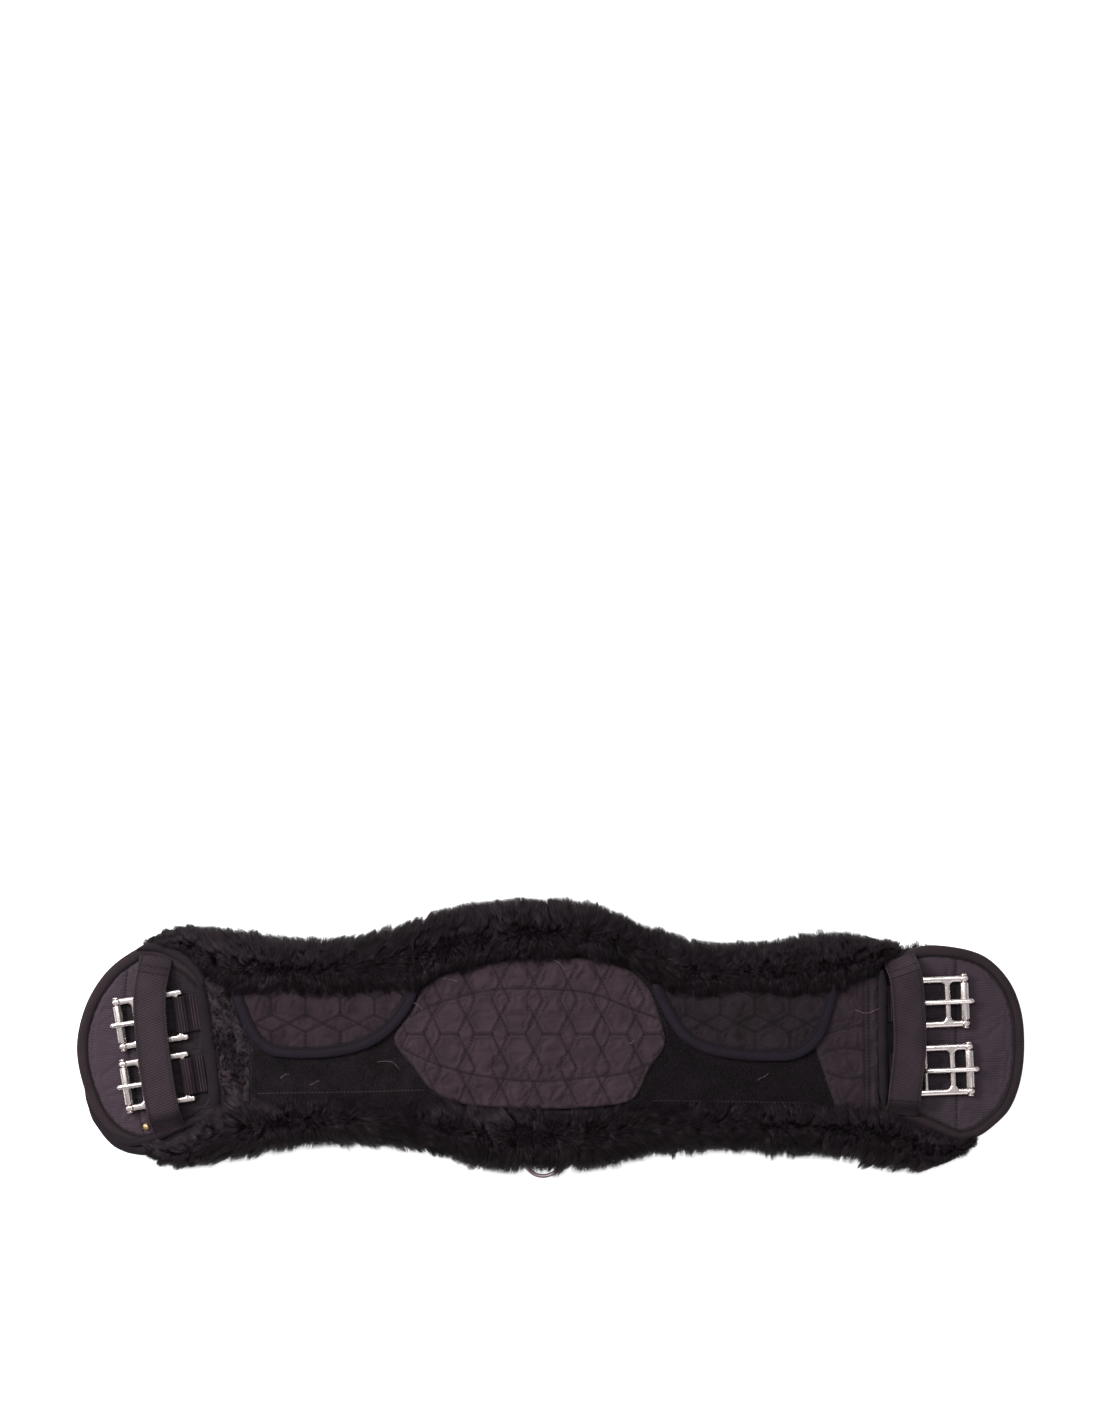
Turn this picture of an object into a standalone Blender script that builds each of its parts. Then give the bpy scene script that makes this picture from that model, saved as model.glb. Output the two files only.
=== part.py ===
"""Saddle girth in a detachable sheepskin cover, lying flat with its outer side up.

Metres, +Z up. X runs along the girth, "left" is -X and "right" is +X. "Back" is the +Y edge and
"front" is the -Y edge, where the D-ring is. The origin is under the middle of the girth, on the
surface that it lies on. Outlines are written in millimetres and scaled by mm().
"""

import math

import bmesh
import bpy
import numpy as np

PART_NAME = "saddle_girth"

# Heights of the layers, from the surface up.
GAP = 0.0003
LINING_TOP = 0.016
BASE_THICKNESS = 0.0012
CORE_THICKNESS = 0.0057
WEBBING_THICKNESS = 0.0012
PANEL_THICKNESS = 0.0017
LENS_THICKNESS = 0.005
HOOK_THICKNESS = 0.001
FLAP_THICKNESS = 0.0024
BINDING_PROUD = 0.0006

BASE_BOTTOM = LINING_TOP + GAP
BASE_TOP = BASE_BOTTOM + BASE_THICKNESS
CORE_BOTTOM = BASE_TOP + GAP
CORE_TOP = CORE_BOTTOM + CORE_THICKNESS
BELT_BOTTOM = CORE_TOP + GAP
BELT_TOP = BELT_BOTTOM + WEBBING_THICKNESS
PANEL_BOTTOM = BELT_TOP + GAP
PANEL_TOP = PANEL_BOTTOM + PANEL_THICKNESS
HOOK_BOTTOM = PANEL_TOP + GAP
HOOK_TOP = HOOK_BOTTOM + HOOK_THICKNESS
FLAP_BOTTOM = HOOK_TOP + GAP
FLAP_TOP = FLAP_BOTTOM + FLAP_THICKNESS
FLAP_HINGE_Z = FLAP_TOP + BINDING_PROUD
FLAP_HINGE_Y = 0.037
ROLL_TOP = 0.038

# Widths of the sewn parts.
PAD_BINDING = 0.008
FLAP_BINDING = 0.009
BAND_WIDTH = 0.025
BAND_THICKNESS = 0.0018
BAND_UNDERSIDE = 0.038
COVER_BINDING_RADIUS = 0.0032
MOUTH_BINDING_RADIUS = 0.0026
ROLL_OUTER_WIDTH = 0.0137
LINING_INSET = 0.0148

# Roller buckle, for a 25 mm strap. Lengths are measured inward from the roller's axis.
BUCKLE_HEIGHT = CORE_TOP + 0.0045
FRAME_HALF_WIDTH = 0.0192
FRAME_HALF_INSIDE = 0.0144
FRAME_HALF_THICKNESS = 0.0019
FRAME_LENGTH = 0.050
FRAME_NOSE = 0.0026
EYE_RADIUS = 0.003
PIN_RADIUS = 0.0015
PIN_HEAD_RADIUS = 0.0028
PIN_HEAD_LENGTH = 0.0013
ROLLER_RADIUS = 0.0034
ROLLER_CLEARANCE = 0.00025
MIDDLE_BAR = (0.0107, 0.0157)
TONGUE_BAR = 0.033
TONGUE_BAR_RADIUS = 0.0016
REAR_BAR = (0.0435, 0.0465)
TONGUE_WIDTH = 0.0036
TONGUE_THICKNESS = 0.002
TONGUE_REACH = 0.007
ELASTIC_WIDTH = 0.0276
ELASTIC_LENGTH = 0.040

# D-ring of round wire, lying in the notch of the front roll.
RING_X = -0.0056
RING_BAR_Y = -0.084
RING_HEIGHT = 0.0212
RING_HALF_WIDTH = 0.0144
RING_WIRE = 0.0016
RING_FRONT = -0.106
CHAPE_WIDTH = 0.021
CHAPE_LENGTH = 0.025
NOTCH_HALF_WIDTH = 0.0175
NOTCH_BACK = -0.080

# Each buckle: roller axis in x and y, and the heading from its rear bar to its roller.
BUCKLES = {
    "left_back": (-0.3241, 0.0105, math.radians(189)),
    "left_front": (-0.3190, -0.0359, math.radians(189)),
    "right_back": (0.3117, 0.0282, math.radians(2.5)),
    "right_front": (0.3154, -0.0229, math.radians(2.5)),
}

FINISHES = {
    "fleece": ((0.012, 0.011, 0.012), 0.95, 0.0),
    "cloth": ((0.030, 0.025, 0.030), 0.85, 0.0),
    "nylon": ((0.050, 0.042, 0.048), 0.70, 0.0),
    "navy": ((0.016, 0.017, 0.028), 0.75, 0.0),
    "pile": ((0.018, 0.016, 0.018), 0.95, 0.0),
    "webbing": ((0.040, 0.034, 0.038), 0.80, 0.0),
    "foam": ((0.100, 0.095, 0.090), 0.90, 0.0),
    "steel": ((0.780, 0.740, 0.710), 0.25, 1.0),
    "brass": ((0.650, 0.440, 0.200), 0.35, 1.0),
}


def mm(points):
    """The same points in metres."""
    return [tuple(value * 0.001 for value in point) for point in points]


# Edges of the sheepskin in plan, from left to right.
FLEECE_BACK = mm([(-305, 71), (-286, 82), (-251, 84.5), (-196, 77), (-144, 79), (-98, 93), (-60, 102.5),
                  (-14, 106), (32, 102.5), (57, 93), (85, 82), (120, 73), (168, 74), (215, 81), (243, 76),
                  (280, 68)])
FLEECE_FRONT = mm([(-305, -89), (-286, -97), (-265, -100), (-213, -91), (-179, -84), (-127, -84),
                   (-83, -92), (-45, -101), (-5, -103), (35, -101), (72, -92), (133, -87), (168, -90),
                   (222, -93), (266, -100), (285, -102.5), (301, -97), (319, -81), (324, -74)])

# Inner edges of the two fleece rolls, from left to right.
ROLL_BACK_INNER = mm([(-298, 73), (-286, 72), (-270, 60), (-250, 46), (-230, 39), (-150, 38.5), (-110, 39),
                      (-90, 46.5), (-68, 55), (-30, 62), (12, 63.5), (46, 60), (70, 49), (85, 39.5),
                      (140, 38), (205, 38.5), (235, 48), (252, 60), (262, 71)])
ROLL_FRONT_INNER = mm([(-296, -90), (-286, -86), (-265, -75), (-250, -60), (-235, -51), (-150, -49),
                       (-90, -53), (-45, -56), (0, -56.5), (45, -55.5), (90, -53), (160, -53), (235, -55),
                       (268, -67), (290, -76), (310, -87)])

# Padded ends of the core: outer edge, from the back corner at the mouth round to the front corner.
PAD_LEFT = mm([(-256, 40), (-275, 57), (-303, 69), (-322, 61), (-339, 45), (-352, 21), (-357.5, -8),
               (-352, -38), (-341, -62), (-325, -77), (-305, -82), (-280, -75), (-250, -57)])
PAD_RIGHT = mm([(250, 56), (278, 69), (307, 68), (329, 60.5), (346, 43), (355, 21), (357.5, -5),
                (355, -31), (347, -53), (335, -66), (322, -75), (307, -78), (285, -69), (262, -60),
                (245, -54)])

CORE_BACK = mm([(-255, 40), (-180, 48), (-60, 57), (-5, 60), (60, 57), (180, 48), (249, 55)])
CORE_FRONT = mm([(-249, -57), (-180, -50), (-60, -56), (-5, -58), (60, -56), (180, -50), (244, -54)])

LENS = mm([(-118, -1), (-104, -20), (-90, -38), (-72, -48), (-45, -52), (-5, -53.5), (38, -51.5),
           (62, -46), (75, -22), (86, -5), (82.5, 16), (71.5, 41), (46, 57.5), (12, 61), (-30, 59),
           (-68, 52), (-90, 43), (-98, 34), (-104.5, 20)])

# Flaps: outer edge of the binding, from the left end of the hinge seam to its right end.
FLAP_LEFT = mm([(-241, 37), (-238, 26), (-231, 9), (-222, -5), (-207, -13.5), (-170, -14.5), (-139, -8),
                (-120, 4), (-106, 21), (-99, 37)])
FLAP_RIGHT = mm([(76.5, 37), (86, 17), (99, -1), (117, -11), (142, -16), (168, -17), (183, -16),
                 (197, -9), (206, 2), (212, 18), (217, 37)])

# Mouths of the cover, back end and front end, and the panels beside them.
MOUTH_LEFT = mm([(-264, 43), (-251, -56)])
MOUTH_RIGHT = mm([(249.5, 52), (250.5, -51)])
LOOP_LEFT_START = -0.226
LOOP_RIGHT_END = 0.204
PANEL_BACK = 0.046
PANEL_FRONT = -0.060

# Keeper bands: centre line in plan, from the back end to the front end.
BAND_LEFT = mm([(-297, 62), (-300.5, 36), (-300, 13), (-296, -23), (-290.5, -54), (-286, -72)])
BAND_RIGHT = mm([(262, 61), (266.5, 47), (268.5, 27), (269.5, -6), (266, -39), (264.5, -58.5)])

RIVET_PLACE = mm([(-304.5, -67)])[0]

part_collection = bpy.data.collections.new(PART_NAME)
cutter_collection = bpy.data.collections.new(PART_NAME + "_cutters")


# ---- plan curves -------------------------------------------------------------------------------


def smooth(points, steps, closed=False):
    """A curve through the points, with this many pieces between neighbours."""
    points = np.array(points, float)
    if closed:
        extended = np.vstack([points[-1], points, points[0], points[1]])
    else:
        extended = np.vstack([2 * points[0] - points[1], points, 2 * points[-1] - points[-2]])
    curve = []
    for before, start, end, after in zip(extended, extended[1:], extended[2:], extended[3:]):
        length = np.linalg.norm(end - start)
        leave = (end - before) / (np.linalg.norm(start - before) + length) * length
        arrive = (after - start) / (np.linalg.norm(after - end) + length) * length
        for t in np.arange(steps) / steps:
            curve.append((2 * t**3 - 3 * t**2 + 1) * start + (t**3 - 2 * t**2 + t) * leave
                         + (3 * t**2 - 2 * t**3) * end + (t**3 - t**2) * arrive)
    if not closed:
        curve.append(points[-1])
    return [tuple(point) for point in curve]


def edge_at(points, x):
    """The y of a left-to-right edge at this x."""
    xs, ys = zip(*smooth(points, 8))
    return float(np.interp(x, xs, ys))


def edge_between(points, start, end, count, inset=0.0):
    """Evenly spaced points of a left-to-right edge, moved by inset along Y."""
    return [(x, edge_at(points, x) + inset) for x in np.linspace(start, end, count)]


def moved_aside(points, distance, closed=False):
    """The curve moved to the left of its own direction by this distance."""
    points = np.array(points)
    if closed:
        direction = np.roll(points, -1, 0) - np.roll(points, 1, 0)
    else:
        direction = np.gradient(points, axis=0)
    direction /= np.linalg.norm(direction, axis=1)[:, None]
    left = np.column_stack([-direction[:, 1], direction[:, 0]])
    return [tuple(point) for point in points + left * distance]


def rounded(corners, steps=3):
    """A polygon whose corners, given as (x, y, radius), are arcs."""
    outline = []
    count = len(corners)
    for index, (x, y, radius) in enumerate(corners):
        here = np.array((x, y))
        back = np.array(corners[index - 1][:2]) - here
        ahead = np.array(corners[(index + 1) % count][:2]) - here
        back /= np.linalg.norm(back)
        ahead /= np.linalg.norm(ahead)
        if radius == 0:
            outline.append((x, y))
            continue
        half_angle = math.acos(np.clip(back @ ahead, -1, 1)) / 2
        centre = here + (back + ahead) / np.linalg.norm(back + ahead) * radius / math.sin(half_angle)
        start = here + back * radius / math.tan(half_angle) - centre
        end = here + ahead * radius / math.tan(half_angle) - centre
        sweep = math.atan2(start[0] * end[1] - start[1] * end[0], start @ end)
        for t in np.arange(steps + 1) / steps:
            cosine, sine = math.cos(sweep * t), math.sin(sweep * t)
            outline.append((centre[0] + start[0] * cosine - start[1] * sine,
                            centre[1] + start[0] * sine + start[1] * cosine))
    return outline


def arc(centre, radius, start, end, count):
    """Points on an arc between two angles in degrees."""
    angles = np.radians(np.linspace(start, end, count))
    return [(centre[0] + radius * math.cos(a), centre[1] + radius * math.sin(a)) for a in angles]


# ---- solids ------------------------------------------------------------------------------------


def clear_scene():
    for obj in list(bpy.data.objects):
        bpy.data.objects.remove(obj)


def finish(obj, kind):
    """Gives the object a material of its own."""
    colour, roughness, metallic = FINISHES[kind]
    material = bpy.data.materials.new(obj.name)
    material.use_nodes = True
    shader = material.node_tree.nodes["Principled BSDF"]
    shader.inputs["Base Color"].default_value = (*colour, 1)
    shader.inputs["Roughness"].default_value = roughness
    shader.inputs["Metallic"].default_value = metallic
    material.diffuse_color = (*colour, 1)
    obj.data.materials.clear()
    obj.data.materials.append(material)


def add_object(name, data, kind, collection=part_collection):
    obj = bpy.data.objects.new(name, data)
    collection.objects.link(obj)
    if kind:
        finish(obj, kind)
    return obj


def new_curve(loops, dimensions, cyclic):
    curve = bpy.data.curves.new("outline", "CURVE")
    curve.dimensions = dimensions
    for loop in loops:
        spline = curve.splines.new("POLY")
        spline.points.add(len(loop) - 1)
        for point, place in zip(spline.points, loop):
            point.co = (*place, *([0.0] * (3 - len(place))), 1.0)
        spline.use_cyclic_u = cyclic
    return curve


def mesh_from_curve(curve):
    """The curve's solid as a mesh with its caps welded on."""
    helper = bpy.data.objects.new("helper", curve)
    bpy.context.scene.collection.objects.link(helper)
    graph = bpy.context.evaluated_depsgraph_get()
    mesh = bpy.data.meshes.new_from_object(helper.evaluated_get(graph))
    bpy.data.objects.remove(helper)
    bpy.data.curves.remove(curve)
    solid = bmesh.new()
    solid.from_mesh(mesh)
    bmesh.ops.remove_doubles(solid, verts=solid.verts, dist=1e-6)
    bmesh.ops.recalc_face_normals(solid, faces=solid.faces)
    solid.to_mesh(mesh)
    solid.free()
    return mesh


def plate_mesh(loops, low, high):
    """A flat outline, with holes if there are several loops, between two heights."""
    curve = new_curve(loops, "2D", True)
    curve.fill_mode = "BOTH"
    curve.extrude = (high - low) / 2
    mesh = mesh_from_curve(curve)
    for vertex in mesh.vertices:
        vertex.co.z += (high + low) / 2
    return mesh


def bevel(obj, width, segments=1):
    modifier = obj.modifiers.new("edges", "BEVEL")
    modifier.width = width
    modifier.segments = segments
    modifier.limit_method = "ANGLE"
    modifier.angle_limit = math.radians(50)


def plate(name, outline, low, high, kind, edge=0.0):
    obj = add_object(name, plate_mesh([outline], low, high), kind)
    if edge:
        bevel(obj, edge)
    return obj


def tube(name, points, radius, kind, cyclic=False):
    curve = new_curve([points], "3D", cyclic)
    curve.bevel_depth = radius
    curve.bevel_resolution = 2
    curve.use_fill_caps = True
    return add_object(name, mesh_from_curve(curve), kind)


def loft(name, rings, kind):
    """A closed solid through rings that have the same number of points."""
    solid = bmesh.new()
    rows = [[solid.verts.new(point) for point in ring] for ring in rings]
    count = len(rows[0])
    for row, following in zip(rows, rows[1:]):
        for index in range(count):
            other = (index + 1) % count
            solid.faces.new((row[index], row[other], following[other], following[index]))
    solid.faces.new(rows[0])
    solid.faces.new(rows[-1])
    bmesh.ops.recalc_face_normals(solid, faces=solid.faces)
    mesh = bpy.data.meshes.new(name)
    solid.to_mesh(mesh)
    solid.free()
    return add_object(name, mesh, kind)


def turned(name, profile, steps, kind, collection=part_collection):
    """A profile of (radius, height) points, outer side from top to bottom, turned about Z."""
    mesh = bpy.data.meshes.new(name)
    closed = profile[0][0] > 0
    count = len(profile)
    edges = [(i, (i + 1) % count) for i in range(count if closed else count - 1)]
    mesh.from_pydata([(r, 0, h) for r, h in profile], edges, [])
    obj = add_object(name, mesh, kind, collection)
    screw = obj.modifiers.new("turn", "SCREW")
    screw.steps = steps
    screw.render_steps = steps
    screw.use_merge_vertices = True
    screw.merge_threshold = 1e-5
    return obj


def frozen_mesh(obj):
    """The object's evaluated mesh, after which the object is removed."""
    graph = bpy.context.evaluated_depsgraph_get()
    mesh = bpy.data.meshes.new_from_object(obj.evaluated_get(graph))
    bpy.data.objects.remove(obj)
    return mesh


def boolean(obj, other, operation):
    modifier = obj.modifiers.new(operation.lower(), "BOOLEAN")
    modifier.operation = operation
    modifier.object = other


def crossing_cylinder(name, radius, x, low, high):
    """A cutter along Y at this x, between two values of y."""
    mesh = bpy.data.meshes.new(name)
    solid = bmesh.new()
    bmesh.ops.create_cone(solid, cap_ends=True, segments=14, radius1=radius, radius2=radius,
                          depth=high - low)
    solid.to_mesh(mesh)
    solid.free()
    obj = add_object(name, mesh, None, cutter_collection)
    obj.rotation_euler.x = math.radians(90)
    obj.location = (x, (low + high) / 2, 0)
    obj.hide_render = True
    obj.display_type = "WIRE"
    return obj


# ---- sheepskin and cover -----------------------------------------------------------------------


def fleece_lining():
    """The flat stretch of sheepskin under the girth, with its corners showing past the pads."""
    back = edge_between(FLEECE_BACK, -0.290, 0.262, 26, -LINING_INSET)
    front = edge_between(FLEECE_FRONT, 0.312, -0.292, 30, LINING_INSET)
    right = mm([(284, 60), (304, 40), (312, 0), (318, -50), (323, -70), (319, -77)])
    left = mm([(-302, -60), (-304, 0), (-302, 52)])
    plate("fleece_lining", back + right + front + left, 0, LINING_TOP, "fleece")


def fleece_roll(name, outer, inner, start, end, side, stations):
    """Sheepskin rolled over a long edge: down the outside and a little way over the panels."""
    rings = []
    step_height = PANEL_TOP + GAP
    for x in np.linspace(start, end, stations):
        outer_y = edge_at(outer, x)
        width = abs(outer_y - edge_at(inner, x))
        step = min(ROLL_OUTER_WIDTH, 0.5 * width)
        crown = step_height + (ROLL_TOP - step_height) * min(1, width / 0.030)
        rise = crown - step_height
        section = [(step, 0.0005), (step, step_height), (width, step_height),
                   (width, step_height + 0.2 * rise), (0.85 * width, step_height + 0.6 * rise),
                   (0.62 * width, step_height + 0.92 * rise), (0.40 * width, crown),
                   (0.20 * width, step_height + 0.8 * rise), (0.06 * width, step_height),
                   (0, 0.018), (0.25 * step, 0.006), (0.6 * step, 0.0005)]
        rings.append([(x, outer_y - side * s, z) for s, z in section])
    return loft(name, rings, "fleece")


def fleece_rolls():
    fleece_roll("fleece_roll_back", FLEECE_BACK, ROLL_BACK_INNER, -0.296, 0.260, 1, 29)
    front = fleece_roll("fleece_roll_front", FLEECE_FRONT, ROLL_FRONT_INNER, -0.294, 0.309, -1, 31)
    depth = 0.04
    box = bmesh.new()
    bmesh.ops.create_cube(box, size=1)
    mesh = bpy.data.meshes.new("ring_notch")
    box.to_mesh(mesh)
    box.free()
    notch = add_object("ring_notch", mesh, None, cutter_collection)
    notch.scale = (2 * NOTCH_HALF_WIDTH, depth, depth)
    notch.location = (RING_X, NOTCH_BACK - depth / 2, CORE_BOTTOM + depth / 2)
    notch.hide_render = True
    notch.display_type = "WIRE"
    boolean(front, notch, "DIFFERENCE")


def cover_base():
    """The cover's cloth between the sheepskin and the core, with a tongue under each pad."""
    back = edge_between(FLEECE_BACK, -0.280, 0.255, 26, -LINING_INSET)
    front = edge_between(FLEECE_FRONT, 0.280, -0.280, 26, LINING_INSET)
    right = smooth(mm([(300, 50), (325, 30), (332, -5), (326, -40), (304, -66)]), 2)
    left = smooth(mm([(-302, -64), (-324, -45), (-333, -5), (-324, 32), (-302, 52)]), 2)
    plate("cover_base", back + right + front + left, BASE_BOTTOM, BASE_TOP, "cloth")


def mouth_x(mouth, y):
    (back_x, back_y), (front_x, front_y) = mouth
    return back_x + (front_x - back_x) * (y - back_y) / (front_y - back_y)


def panel(name, outline, kind):
    plate(name, outline, PANEL_BOTTOM, PANEL_TOP, kind)


def cover_panels():
    """Quilted end panels, loop fields and the lens-shaped centre panel."""
    seam = GAP
    behind_binding = MOUTH_BINDING_RADIUS + GAP
    lens = smooth(LENS, 3, closed=True)
    lens_seam = moved_aside(lens, -2 * seam, closed=True)
    # The lens outline runs anticlockwise from its left tip, so its left side is at both ends of the list.
    left_side = (lens_seam[-9:] + lens_seam[:10])[::-1]
    right_side = lens_seam[21:34]
    ends = [(PANEL_BACK, 1), (PANEL_FRONT, -1)]
    left_mouth = [(mouth_x(MOUTH_LEFT, y) + behind_binding, y) for y, _ in ends]
    right_mouth = [(mouth_x(MOUTH_RIGHT, y) - behind_binding, y) for y, _ in ends]
    left_join = [(LOOP_LEFT_START, y) for y, _ in ends]
    right_join = [(LOOP_RIGHT_END, y) for y, _ in ends]

    def shifted(line, distance):
        return [(x + distance, y) for x, y in line]

    panel("end_panel_left", left_mouth + shifted(left_join, -seam)[::-1], "cloth")
    panel("end_panel_right", shifted(right_join, seam) + right_mouth[::-1], "cloth")
    left_lens = [(left_side[0][0], PANEL_FRONT)] + left_side + [(left_side[-1][0], PANEL_BACK)]
    panel("loop_field_left", left_join + left_lens, "pile")
    right_lens = [(right_side[-1][0], PANEL_BACK)] + right_side[::-1] + [(right_side[0][0], PANEL_FRONT)]
    panel("loop_field_right", right_lens + right_join[::-1], "pile")
    plate("lens_panel", lens, PANEL_BOTTOM, PANEL_BOTTOM + LENS_THICKNESS, "cloth", 0.0012)


def mouth_bindings():
    height = PANEL_BOTTOM + MOUTH_BINDING_RADIUS + GAP / 3
    for name, mouth in (("mouth_binding_left", MOUTH_LEFT), ("mouth_binding_right", MOUTH_RIGHT)):
        tube(name, [(x, y, height) for x, y in mouth], MOUTH_BINDING_RADIUS, "cloth")


def cover_bindings():
    """The cover's bound edge beside each pad, from the mouth outward."""
    aside = COVER_BINDING_RADIUS + 0.0005
    height = CORE_BOTTOM + 0.0048
    left = moved_aside(smooth(PAD_LEFT, 3), -aside)
    right = moved_aside(smooth(PAD_RIGHT, 3), aside)
    stretches = {
        "cover_binding_left_back": left[1:7],
        "cover_binding_left_front": left[24:-1],
        "cover_binding_right_back": right[1:5],
        "cover_binding_right_front": right[30:-1],
    }
    for name, stretch in stretches.items():
        tube(name, [(x, y, height) for x, y in stretch], COVER_BINDING_RADIUS, "navy")


def flap(side, outline, hook_start, hook_end):
    """A closing flap with its binding and the hook strip under it."""
    outer = smooth(outline, 3)

    def edge(inset):
        return [(x, min(y, FLAP_HINGE_Y)) for x, y in moved_aside(outer, inset)]

    body = edge(FLAP_BINDING + GAP)
    pieces = [
        plate("flap_" + side, body, FLAP_BOTTOM, FLAP_TOP, "cloth"),
        plate("flap_binding_" + side, edge(0) + edge(FLAP_BINDING)[::-1], HOOK_BOTTOM + GAP / 3,
              FLAP_HINGE_Z, "navy", 0.0008),
        plate("hook_strip_" + side, rounded([(hook_start, 0.002, 0.003), (hook_end, 0.002, 0.003),
                                             (hook_end, 0.018, 0.003), (hook_start, 0.018, 0.003)]),
              HOOK_BOTTOM, HOOK_TOP, "pile"),
    ]
    hinge = bpy.data.objects.new("flap_hinge_" + side, None)
    part_collection.objects.link(hinge)
    hinge.location = ((outer[0][0] + outer[-1][0]) / 2, FLAP_HINGE_Y, FLAP_HINGE_Z)
    for piece in pieces:
        piece.parent = hinge
        piece.location = -hinge.location


# ---- girth core --------------------------------------------------------------------------------


def end_pad(side, outline, turn):
    """A padded end of the core and the binding round it. turn is 1 where the outline runs anticlockwise."""
    outer = smooth(outline, 3)
    face = moved_aside(outer, turn * (PAD_BINDING + GAP))
    inner = moved_aside(outer, turn * PAD_BINDING)
    plate("end_pad_" + side, face, CORE_BOTTOM, CORE_TOP, "nylon", 0.0006)
    plate("end_binding_" + side, outer + inner[::-1], CORE_BOTTOM, CORE_TOP + BINDING_PROUD, "webbing",
          0.0014)


def core():
    outline = smooth(CORE_BACK, 3)[::-1] + smooth(CORE_FRONT, 3)
    foam = moved_aside(outline, 0.0004, closed=True)
    plate("core_foam", foam, CORE_BOTTOM, CORE_TOP, "foam")
    belts = {"belt_back": (-0.2365, 0.2235, 0.0240), "belt_front": (-0.2315, 0.2270, -0.0245)}
    for name, (start, end, y) in belts.items():
        half = ELASTIC_WIDTH / 2
        outline = [(start, y - half), (end, y - half), (end, y + half), (start, y + half)]
        plate(name, outline, BELT_BOTTOM, BELT_TOP, "webbing")


def keeper_band(side, centre_line, level_back, level_front):
    """Webbing across a pad, sewn down at both ends and arched over the buckles between."""
    foot = CORE_TOP + BINDING_PROUD + GAP
    path = np.array(smooth(centre_line, 3))
    edges = [np.array(moved_aside(path, distance)) for distance in (-BAND_WIDTH / 2, BAND_WIDTH / 2)]
    rings = []
    for centre, right, left in zip(path, *edges):
        y = centre[1]
        if y > level_back:
            rise = (path[0][1] - y) / (path[0][1] - level_back)
        elif y < level_front:
            rise = (y - path[-1][1]) / (level_front - path[-1][1])
        else:
            rise = 1.0
        z = foot + (BAND_UNDERSIDE - foot) * (3 * rise**2 - 2 * rise**3)
        rings.append([(*right, z), (*left, z), (*left, z + BAND_THICKNESS), (*right, z + BAND_THICKNESS)])
    loft("keeper_band_" + side, rings, "webbing")


def rivet():
    radius = 0.003
    height = 0.0018
    profile = [(0, height), (0.5 * radius, 0.9 * height), (0.85 * radius, 0.55 * height), (radius, 0), (0, 0)]
    obj = turned("rivet", profile, 12, "brass")
    obj.location = (*RIVET_PLACE, CORE_TOP + GAP)


# ---- webbing folded round a bar ----------------------------------------------------------------


def folded_webbing(bar_half_length, bar_half_height, low, length):
    """Side view of webbing that passes round a bar at the origin and runs towards -X."""
    thickness = WEBBING_THICKNESS
    front = bar_half_length + GAP
    above = bar_half_height + GAP
    upper = low + thickness
    outer = rounded([(-length, low, 0), (front + thickness, low, 0.0018),
                     (front + thickness, above + thickness, 0.0018), (-0.0025, above + thickness, 0.0015),
                     (-0.012, upper + 0.0008, 0.0015), (-0.0135, upper, 0), (-length, upper, 0)])
    hole = rounded([(front, upper - 0.0002, 0.0006), (front, above, 0.0008), (-0.0022, above, 0.0008),
                    (-0.0095, upper - 0.0002, 0.0002)], 2)
    return [outer, hole]


def upright(mesh, width):
    """Turns a side view, drawn in X and Y, upright: its Y becomes Z, and its thickness lies along Y."""
    for vertex in mesh.vertices:
        x, y, z = vertex.co
        vertex.co = (x, -z + width / 2, y)


def side_view_mesh(loops, width):
    mesh = plate_mesh(loops, 0, width)
    upright(mesh, width)
    return mesh


def d_ring():
    """The ring and the webbing chape that holds it to the core."""
    arc_centre_y = RING_FRONT + RING_WIRE + RING_HALF_WIDTH
    round_end = arc((0, arc_centre_y), RING_HALF_WIDTH, -180, 0, 17)
    top = rounded([(RING_HALF_WIDTH, arc_centre_y, 0), (RING_HALF_WIDTH, RING_BAR_Y, 0.003),
                   (-RING_HALF_WIDTH, RING_BAR_Y, 0.003), (-RING_HALF_WIDTH, arc_centre_y, 0)])[1:-1]
    path = [(x, y - RING_BAR_Y, 0) for x, y in round_end + top]
    ring = tube("d_ring", path, RING_WIRE, "steel", cyclic=True)
    ring.location = (RING_X, RING_BAR_Y, RING_HEIGHT)

    loops = folded_webbing(RING_WIRE, RING_WIRE, CORE_BOTTOM + GAP - RING_HEIGHT, CHAPE_LENGTH)
    chape = add_object("d_ring_chape", side_view_mesh(loops, CHAPE_WIDTH), "webbing")
    chape.rotation_euler.z = math.radians(-90)
    chape.location = ring.location


# ---- buckles -----------------------------------------------------------------------------------


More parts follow.
